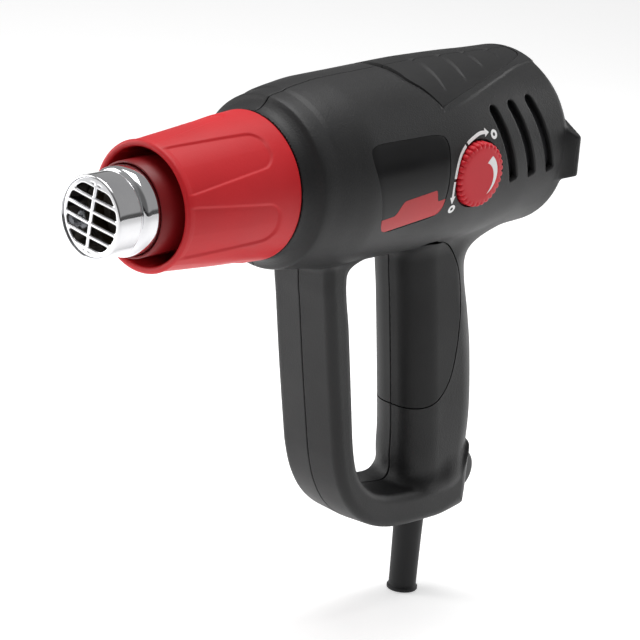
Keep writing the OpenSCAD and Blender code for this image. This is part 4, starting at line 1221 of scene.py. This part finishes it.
class HEATGUN_OT_heater(Maker, bpy.types.Operator):
    """Winds the heater's coils, one in each channel of the former"""
    bl_idname = "heatgun.heater"
    bl_label = "Heater coils"

    def execute(self, context):
        self.ready(context)
        coils = []
        for channel in range(CHANNELS):
            a = 2 * math.pi * channel / CHANNELS
            centre = (-CHANNEL_RING * math.sin(a), CHANNEL_RING * math.cos(a))
            coils.append(self.coil(24.0, 78.0, 2.55, 0.32, 20, centre))
        solid_piece("heater_coils", joined(coils), self.finish["wire"], "gun", ["heater_coils"],
                    60)
        return {"FINISHED"}

    def coil(self, x0, x1, radius, wire, turns, centre):
        """Wire carried round a helix: the centre line's radius turns evenly as it goes along x, and each
        ring stands across the line."""
        t = np.linspace(0, 1, turns * 14 + 1)
        a = 2 * math.pi * turns * t
        line = np.stack([x0 + (x1 - x0) * t, centre[0] + radius * np.cos(a),
                         centre[1] + radius * np.sin(a)], 1)
        outward = np.stack([0 * a, np.cos(a), np.sin(a)], 1)
        along = unit(np.gradient(line, axis=0))
        side = np.cross(along, outward)
        ring = np.linspace(0, 2 * math.pi, 6, endpoint=False)
        points = line[:, None] + wire * (np.cos(ring)[None, :, None] * outward[:, None]
                                         + np.sin(ring)[None, :, None] * side[:, None])
        ends = [np.broadcast_to(points[k].mean(0), points[k].shape) for k in (0, -1)]
        points = np.array([ends[0], *points, ends[1]])
        return points.reshape(-1, 3), grid_faces(len(points), 6, wrap_columns=True)


class HEATGUN_OT_dial(Maker, bpy.types.Operator):
    """Makes the heat dial, its white mark, and the printed marks round it"""
    bl_idname = "heatgun.dial"
    bl_label = "Heat dial and marks"

    def execute(self, context):
        self.ready(context)
        notches = self.sizes.dial_notches
        face, back, rim = DIAL_FACE, DIAL_BACK, 1.3
        profile = [(face, 0.0), (face, 6.0), (face, 9.5), (face, 10.9), (face + 0.04, 11.2),
                   (face + 0.1, 11.6)]
        profile += [(face + 1.5 - 1.45 * math.sin(t), DIAL_R - rim + rim * math.cos(t))
                    for t in np.radians(np.linspace(82, 0, 9))]
        profile += [(-39.0, DIAL_R), (-38.0, DIAL_R), (back - 0.4, DIAL_R), (back, DIAL_R - 0.4),
                    (back, DIAL_STEM), (-39.6, DIAL_STEM), (-39.6, 0.0)]
        place, radius = np.array(profile).T
        angle = np.linspace(0, 2 * math.pi, notches * 10, endpoint=False)[None, :]
        tooth = 1.0 - np.abs(np.sin(notches * angle / 2)) ** 0.6
        grip = ramp(radius, 11.2, DIAL_R - 0.6)[:, None] * (place < back - 0.2)[:, None]
        r = radius[:, None] - 0.75 * tooth * grip
        dip = ramp(radius, 11.3, 12.6)[:, None] * (place < face + 1.2)[:, None]
        y = place[:, None] + 0.35 * tooth * dip
        points = np.stack([DIAL_X + r * np.cos(angle), np.broadcast_to(y, r.shape),
                           DIAL_Z + r * np.sin(angle)], -1)
        shape = points.reshape(-1, 3), grid_faces(len(place), angle.size, True, True)
        solid_piece("dial", shape, self.finish["dial"], "dial", ["dial"], 50)
        t = np.radians(np.linspace(52, -64, 60))[None, :]
        share = np.linspace(0, 1, 60)[None, :]
        width = 3.8 * (1 - share) ** 0.85 + 0.1
        across = edged(8, 0.05)[:, None]
        rr = 9.5 - width * across
        slant = t + np.radians(6) * across * (1 - share)
        x, z = DIAL_X + rr * np.cos(slant), DIAL_Z + rr * np.sin(slant)
        mark = np.stack([x, np.full(x.shape, face - 0.05), z], -1)
        solid_piece("dial_mark", slab(mark, mark + (0, 0.12, 0)), self.finish["print"], "dial",
                    smooth=60)
        solid_piece("dial_scale", self.scale(), self.finish["print"], "gun", smooth=60)
        return {"FINISHED"}

    def on_barrel(self, x, z):
        """A print's thin sheet on the barrel's side, a little proud of it and a little let in."""
        place = surface_points(x, z)
        return slab(place + (0, -0.06, 0), place + (0, 0.12, 0))

    def stretch(self, start, end, width, low=1.0, high=1.0, steps=30):
        """Stretch of the printed line; low and high let its width run out to a tip."""
        t = np.linspace(start, end, steps)
        line = np.stack([eased([(k / 8, p[0]) for k, p in enumerate(SCALE_LINE)], t),
                         eased([(k / 8, p[1]) for k, p in enumerate(SCALE_LINE)], t)], 1)
        along = unit(np.gradient(line, axis=0))
        w = np.linspace(low, high, steps) * width
        across = np.linspace(-0.5, 0.5, 5)[:, None] * w[None, :]
        return self.on_barrel(line[:, 0] - across * along[:, 1], line[:, 1] + across * along[:, 0])

    def circle(self, x, z, outer, inner):
        """A printed ring, closed where its turn ends."""
        a = np.linspace(0, 2 * math.pi, 41)[None, :]
        r = np.linspace(inner, outer, 4)[:, None]
        return self.on_barrel(x + r * np.cos(a), z + r * np.sin(a))

    def scale(self):
        """Printed marks: two arrows on one arc with a plain stretch between, and a ring at each end."""
        parts = [self.stretch(0.06, 0.34, 1.35), self.stretch(0.37, 0.66, 1.3),
                 self.stretch(0.69, 0.90, 1.1), self.stretch(0.07, 0.0, 3.4, 1.0, 0.03, 12),
                 self.stretch(0.89, 1.0, 3.0, 1.0, 0.03, 12),
                 self.circle(193.6, 15.4, 1.9, 0.75), self.circle(170.0, -13.1, 1.9, 0.75)]
        return joined(parts)


class HEATGUN_OT_switch(Maker, bpy.types.Operator):
    """Makes the rocker and the switch body it tilts in"""
    bl_idname = "heatgun.switch"
    bl_label = "Rocker switch"

    def execute(self, context):
        self.ready(context)

        def body_field(x, y, z):
            """A box with a rounded rim in front, less the well that the rocker's drum turns in."""
            z = z - SWITCH_Z
            box = np.maximum(np.maximum(np.abs(y) - 9.85, np.abs(z) - 10.05),
                             np.maximum(SWITCH_BACK - x, x - SWITCH_FACE))
            rim = blend_max(blend_max(np.abs(y) - 10.6, np.abs(z) - 10.7, 2.2),
                            np.maximum(SWITCH_RIM - x, x - SWITCH_FACE), 0.4)
            well = np.maximum(np.hypot(x - ROCKER_X, z) - 9.95, np.abs(y) - 8.55)
            return blend_max(np.minimum(box, rim), -well, 0.35)

        def rocker_field(x, y, z):
            """A drum about the rocker's axis, cut flat behind it."""
            drum = blend_max(np.hypot(x - ROCKER_X, z - SWITCH_Z) - 9.6, np.abs(y) - 8.2, 1.4)
            return blend_max(drum, ROCKER_X - 3.0 - x, 0.5)

        for name, field, low, high, body in (
                ("switch_body", body_field, (213.1, -11.7, -162.1), (231.3, 11.7, -137.9), "gun"),
                ("switch_rocker", rocker_field, (223.9, -8.7, -160.1), (237.5, 8.7, -139.9), "rocker")):
            axes = [spaced((a, b, 0.5)) for a, b in zip(low, high)]
            mesh = merged(raw_mesh(name, *field_surface(field, *axes)))
            field_piece(name, mesh, field, self.finish["black"], body, 50, 0.05)
        return {"FINISHED"}


class HEATGUN_OT_boot(Maker, bpy.types.Operator):
    """Moulds the rubber boot that the cord comes out of"""
    bl_idname = "heatgun.boot"
    bl_label = "Cord boot"

    def execute(self, context):
        self.ready(context)
        low = BOOT_LOW
        outer = arc((low + 0.45, 6.3), 0.45, 180, 90, 4) + [(low + 1.35, 6.75)] \
            + arc((low + 1.35, 6.3), 0.45, 90, 20, 4) \
            + [(low + 2.0, 6.2), (low + 2.6, 6.05), (low + 5.0, 6.05), (-180.0, 6.3), (-166.05, 6.6),
               (-166.0, 6.1), (-163.3, 6.1), (-163.3, 7.6), (-160.4, 7.6), (-160.4, 3.6)]
        inner = [(low + 6.0, 3.6), (low + 1.2, 3.6), (low + 0.4, 3.8), (low, 4.4)]
        boot = turned(outer + inner, 96, "z", (BOOT_X, 0, 0))
        solid_piece("cord_boot", boot, self.finish["rubber"], "gun", ["cord_boot"], 50)
        return {"FINISHED"}


class HEATGUN_OT_tail(Maker, bpy.types.Operator):
    """Makes the round intake grille in the tail, and dark foam sheets behind the side vents that paint the
    shade inside them
    """
    bl_idname = "heatgun.tail"
    bl_label = "Tail grille and shade sheets"

    def execute(self, context):
        self.ready(context)

        pitch, hole, spine = 5.4, 1.5, 1.6

        def tail_field(x, y, z):
            """A disc less rows of round-ended slots, two to a row with a spine between them."""
            r = np.hypot(y, z)
            disc = np.maximum(np.maximum(239.2 - x, x - 243.1), r - GRILLE_R)
            number = np.round(z / pitch)
            row = z / pitch - number
            reach = np.sqrt(np.maximum(21.5 ** 2 - (np.abs(number) * pitch) ** 2, 1.0))
            along = np.abs(np.abs(y) - 0.5 * (reach + spine)) - 0.5 * (reach - spine) + hole
            gap = np.hypot(np.maximum(along, 0.0), row * pitch) - hole
            gap = np.where(np.abs(number) > 3, 5.0, gap)
            return blend_max(disc, -gap, 0.6)

        across = spaced((-24.7, 24.7, 0.5))
        shape = field_surface(tail_field, spaced((238.8, 243.6, 0.35)), across, across)
        field_piece("rear_grille", merged(raw_mesh("rear_grille", *shape)), tail_field,
                    self.finish["black"], "gun", 50, 0.1)
        # Dark sheets just inside the barrel behind the vents are painted shade, so the hollow seen through
        # the vents stays black.
        shade_sheet_r = 34.6
        angle = np.radians(np.linspace(-18, 50, 60))[None, :]
        lift = shade_sheet_r * np.sin(angle)
        begin = eased([(-12.0, 202.0), (10.0, 199.5), (24.0, 194.0), (30.0, 194.0)], lift)
        x = begin + (236.0 - begin) * np.linspace(0, 1, 40)[:, None]
        sheet = np.stack([x, np.broadcast_to(-shade_sheet_r * np.cos(angle), x.shape),
                          np.broadcast_to(lift, x.shape)], -1)
        inward = sheet * (1.0, 0.978, 0.978)
        for side, name in ((LEFT, "side_shade_sheet_left"), (RIGHT, "side_shade_sheet_right")):
            solid_piece(name, on_side(side, slab(sheet, inward)), self.finish["foam"], "gun")
        return {"FINISHED"}


CARRIED = {
    "mica_sleeve": "mica", "heater_former": "ceramic", "heater_rod": "zinc", "heater_disc": "mica",
    "thermal_cutout": "ceramic", "air_duct": "inner", "fan_impeller": "fan", "motor_shaft": "zinc",
    "armature": "core", "commutator": "copper", "motor_can": "can", "motor_magnets": "ferrite",
    "motor_end_cap": "inner", "front_bushing": "bronze", "rear_bushing": "bronze",
    "motor_brushes": "ferrite",
    "motor_mount": "inner", "dust_filter": "foam", "control_board": "board", "capacitor": "capacitor",
    "triac_heatsink": "aluminium", "potentiometer": "pot", "dial_shaft": "nylon",
    "switch_terminals": "brass",
    "cord_clamp": "inner", "clamp_screws": "zinc", "housing_screws": "black_steel",
    "heater_leads": "lead_white", "switch_leads": "lead_blue",
}


class HEATGUN_OT_inside(Maker, bpy.types.Operator):
    """Gives the frame's own inner pieces their finishes"""
    bl_idname = "heatgun.inside"
    bl_label = "Inner pieces"

    def execute(self, context):
        self.ready(context)
        for name, look in CARRIED.items():
            node = frame["nodes"].get(name)
            if node is None:
                raise RuntimeError(f"the frame has no node {name}")
            if not node.material_slots:
                node.data.materials.append(self.finish[look])
            for slot in node.material_slots:
                slot.material = self.finish[look]
        return {"FINISHED"}


VIEW_TURN, VIEW_LIFT, VIEW_ROLL = -47.794, 18.227, 5.150
VIEW_RIGHT, VIEW_DROP, VIEW_AWAY = 89.40, 39.73, 1600.0
LENS, SENSOR = 231.63, 36.0
FLOOR_R, FLOOR_DROP, FLOOR_GLOW = 12000.0, 0.3, 0.48
TENT_LEVEL, TENT_MIDDLE = 0.36, np.array([150.0, 0.0, -40.0])


class HEATGUN_OT_stage(Maker, bpy.types.Operator):
    """Sets up the floor, the soft lights and the camera"""
    bl_idname = "heatgun.stage"
    bl_label = "Floor, lights and camera"

    def execute(self, context):
        self.ready(context)
        scene = context.scene
        self.floor()
        self.lights(scene)
        self.camera(scene)
        scene.view_settings.view_transform = "Standard"
        scene.view_settings.look = "None"
        return {"FINISHED"}

    def floor(self):
        """A pale disc that reaches past the view on every side."""
        low = cad_box[0][2] / MM - FLOOR_DROP
        shape = turned([(low, 0.0), (low, FLOOR_R), (low - 20.0, FLOOR_R), (low - 20.0, 0.0)], 64, "z",
                       (150.0, 0.0, 0.0))
        mesh = merged(raw_mesh("studio_floor", *shape), 1e-4)
        old = bpy.data.objects.get("studio_floor")
        if old is not None:
            bpy.data.objects.remove(old)
        floor = bpy.data.objects.new("studio_floor", mesh)
        bpy.context.scene.collection.objects.link(floor)
        glow = self.finish["floor"].node_tree.nodes["Principled BSDF"].inputs
        glow["Emission Color"].default_value = (1.0, 1.0, 1.0, 1.0)
        glow["Emission Strength"].default_value = FLOOR_GLOW
        mesh.materials.append(self.finish["floor"])
        floor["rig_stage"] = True

    def lights(self, scene):
        """A white tent that is dark round the camera, with a dark line at its foot, two side boxes and
        one overhead."""
        world = scene.world or bpy.data.worlds.new("Studio")
        scene.world = world
        world.use_nodes = True
        nodes, link = world.node_tree.nodes, world.node_tree.links.new
        sky = nodes["Background"]
        sky.inputs["Color"].default_value = (1.0, 1.0, 1.0, 1.0)
        right, up, back = view_axes()
        where = add_node(nodes, "TexCoord").outputs["Generated"]
        toward = add_node(nodes, "VectorMath", {1: tuple(back)}, operation="DOT_PRODUCT")
        link(where, toward.inputs[0])
        front = add_node(nodes, "MapRange", {"From Min": 0.5, "From Max": 0.92, "To Min": 1.0,
                                             "To Max": 0.38}, interpolation_type="SMOOTHSTEP")
        link(toward.outputs["Value"], front.inputs["Value"])
        height = add_node(nodes, "SeparateXYZ")
        link(where, height.inputs[0])
        foot = add_node(nodes, "MapRange", {"From Min": 0.10, "From Max": 0.16, "To Min": 0.25,
                                            "To Max": 1.0})
        link(height.outputs["Z"], foot.inputs["Value"])
        both = add_node(nodes, "Math", operation="MULTIPLY")
        link(front.outputs["Result"], both.inputs[0])
        link(foot.outputs["Result"], both.inputs[1])
        level = add_node(nodes, "Math", {1: TENT_LEVEL}, operation="MULTIPLY")
        link(both.outputs[0], level.inputs[0])
        link(level.outputs[0], sky.inputs["Strength"])
        middle = TENT_MIDDLE
        for name, place, size, power in (
                ("Overhead", middle + (60, 120, 900), (700, 700), 8.0),
                ("LeftBox", middle - 750 * right + 260 * up - 60 * back, (420, 800), 3.6),
                ("RightBox", middle + 650 * right + 160 * up - 420 * back, (420, 800), 2.5)):
            lamp = bpy.data.lights.new(name, "AREA")
            lamp.shape = "RECTANGLE"
            lamp.size, lamp.size_y = size[0] * MM, size[1] * MM
            lamp.energy = power
            obj = bpy.data.objects.new(name, lamp)
            scene.collection.objects.link(obj)
            set_pose(obj, place, unit(place - middle))

    def camera(self, scene):
        """Looks from the left front, a little down and rolled a little, from far enough away that the
        barrel's lines stay nearly parallel."""
        right, up, back = view_axes()
        data = bpy.data.cameras.new("Camera")
        data.sensor_width = SENSOR
        data.lens = LENS
        data.clip_end = 100.0
        data.clip_start = 0.05
        camera = bpy.data.objects.new("Camera", data)
        scene.collection.objects.link(camera)
        place_on_axes(camera, right * VIEW_RIGHT - up * VIEW_DROP + back * VIEW_AWAY, right, up, back)
        scene.camera = camera


def view_axes():
    """Right, up and back directions of the view, from its heading, its lift and its roll."""
    azimuth, lift, roll = (math.radians(a) for a in (VIEW_TURN, VIEW_LIFT, VIEW_ROLL))
    back = np.array([math.sin(azimuth) * math.cos(lift), -math.cos(azimuth) * math.cos(lift),
                     math.sin(lift)])
    right = np.array([math.cos(azimuth), math.sin(azimuth), 0.0])
    up = np.cross(back, right)
    return (right * math.cos(roll) + up * math.sin(roll), up * math.cos(roll) - right * math.sin(roll),
            back)


def place_on_axes(obj, place, right, up, back):
    """Puts a lamp or a camera at a place with its own axes along three directions."""
    axes = np.eye(4)
    axes[:3, 0], axes[:3, 1], axes[:3, 2], axes[:3, 3] = right, up, back, place * MM
    obj.matrix_world = Matrix(axes.tolist())


def set_pose(obj, place, back):
    """Puts a lamp at a place with its back axis along a direction and its right axis level."""
    right = unit(np.cross([0.0, 0.0, 1.0] if abs(back[2]) < 0.99 else [0.0, 1.0, 0.0], back))
    place_on_axes(obj, place, right, np.cross(back, right), back)


class HEATGUN_PT_panel(bpy.types.Panel):
    """Lists the steps in the order they are made"""
    bl_idname = "HEATGUN_PT_panel"
    bl_label = "Heat gun"
    bl_space_type = "VIEW_3D"
    bl_region_type = "UI"
    bl_category = "Heat gun"

    def draw(self, context):
        for group in (context.scene.heat_gun_sizes, context.scene.heat_gun_colours):
            box = self.layout.box()
            for name in group.__annotations__:
                box.prop(group, name)
        for step in STEPS:
            self.layout.operator(step.bl_idname)


STEPS = (HEATGUN_OT_stage, HEATGUN_OT_housing, HEATGUN_OT_top_grips, HEATGUN_OT_grip_pads,
         HEATGUN_OT_plates, HEATGUN_OT_guard, HEATGUN_OT_nozzle, HEATGUN_OT_heater, HEATGUN_OT_dial,
         HEATGUN_OT_switch, HEATGUN_OT_boot, HEATGUN_OT_tail, HEATGUN_OT_inside)
CLASSES = (HeatGunColours, HeatGunSizes, *STEPS, HEATGUN_PT_panel)


def register():
    """Registers the classes and puts the sizes and colours on the scene."""
    for cls in CLASSES:
        bpy.utils.register_class(cls)
    bpy.types.Scene.heat_gun_sizes = bpy.props.PointerProperty(type=HeatGunSizes)
    bpy.types.Scene.heat_gun_colours = bpy.props.PointerProperty(type=HeatGunColours)


def unregister():
    """Takes back what register did."""
    del bpy.types.Scene.heat_gun_colours
    del bpy.types.Scene.heat_gun_sizes
    for cls in reversed(CLASSES):
        bpy.utils.unregister_class(cls)


def main():
    """Makes every piece in order."""
    register()
    for step in STEPS:
        family, action = step.bl_idname.split(".")
        result = getattr(getattr(bpy.ops, family), action)()
        if result != {"FINISHED"}:
            raise RuntimeError(f"{step.bl_label} did not finish")
    boxes = {"cad": cad_box, "visual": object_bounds()}
    {name: [list(map(float, corner)) for corner in box] for name, box in boxes.items()}


if __name__ == "__main__":
    main()
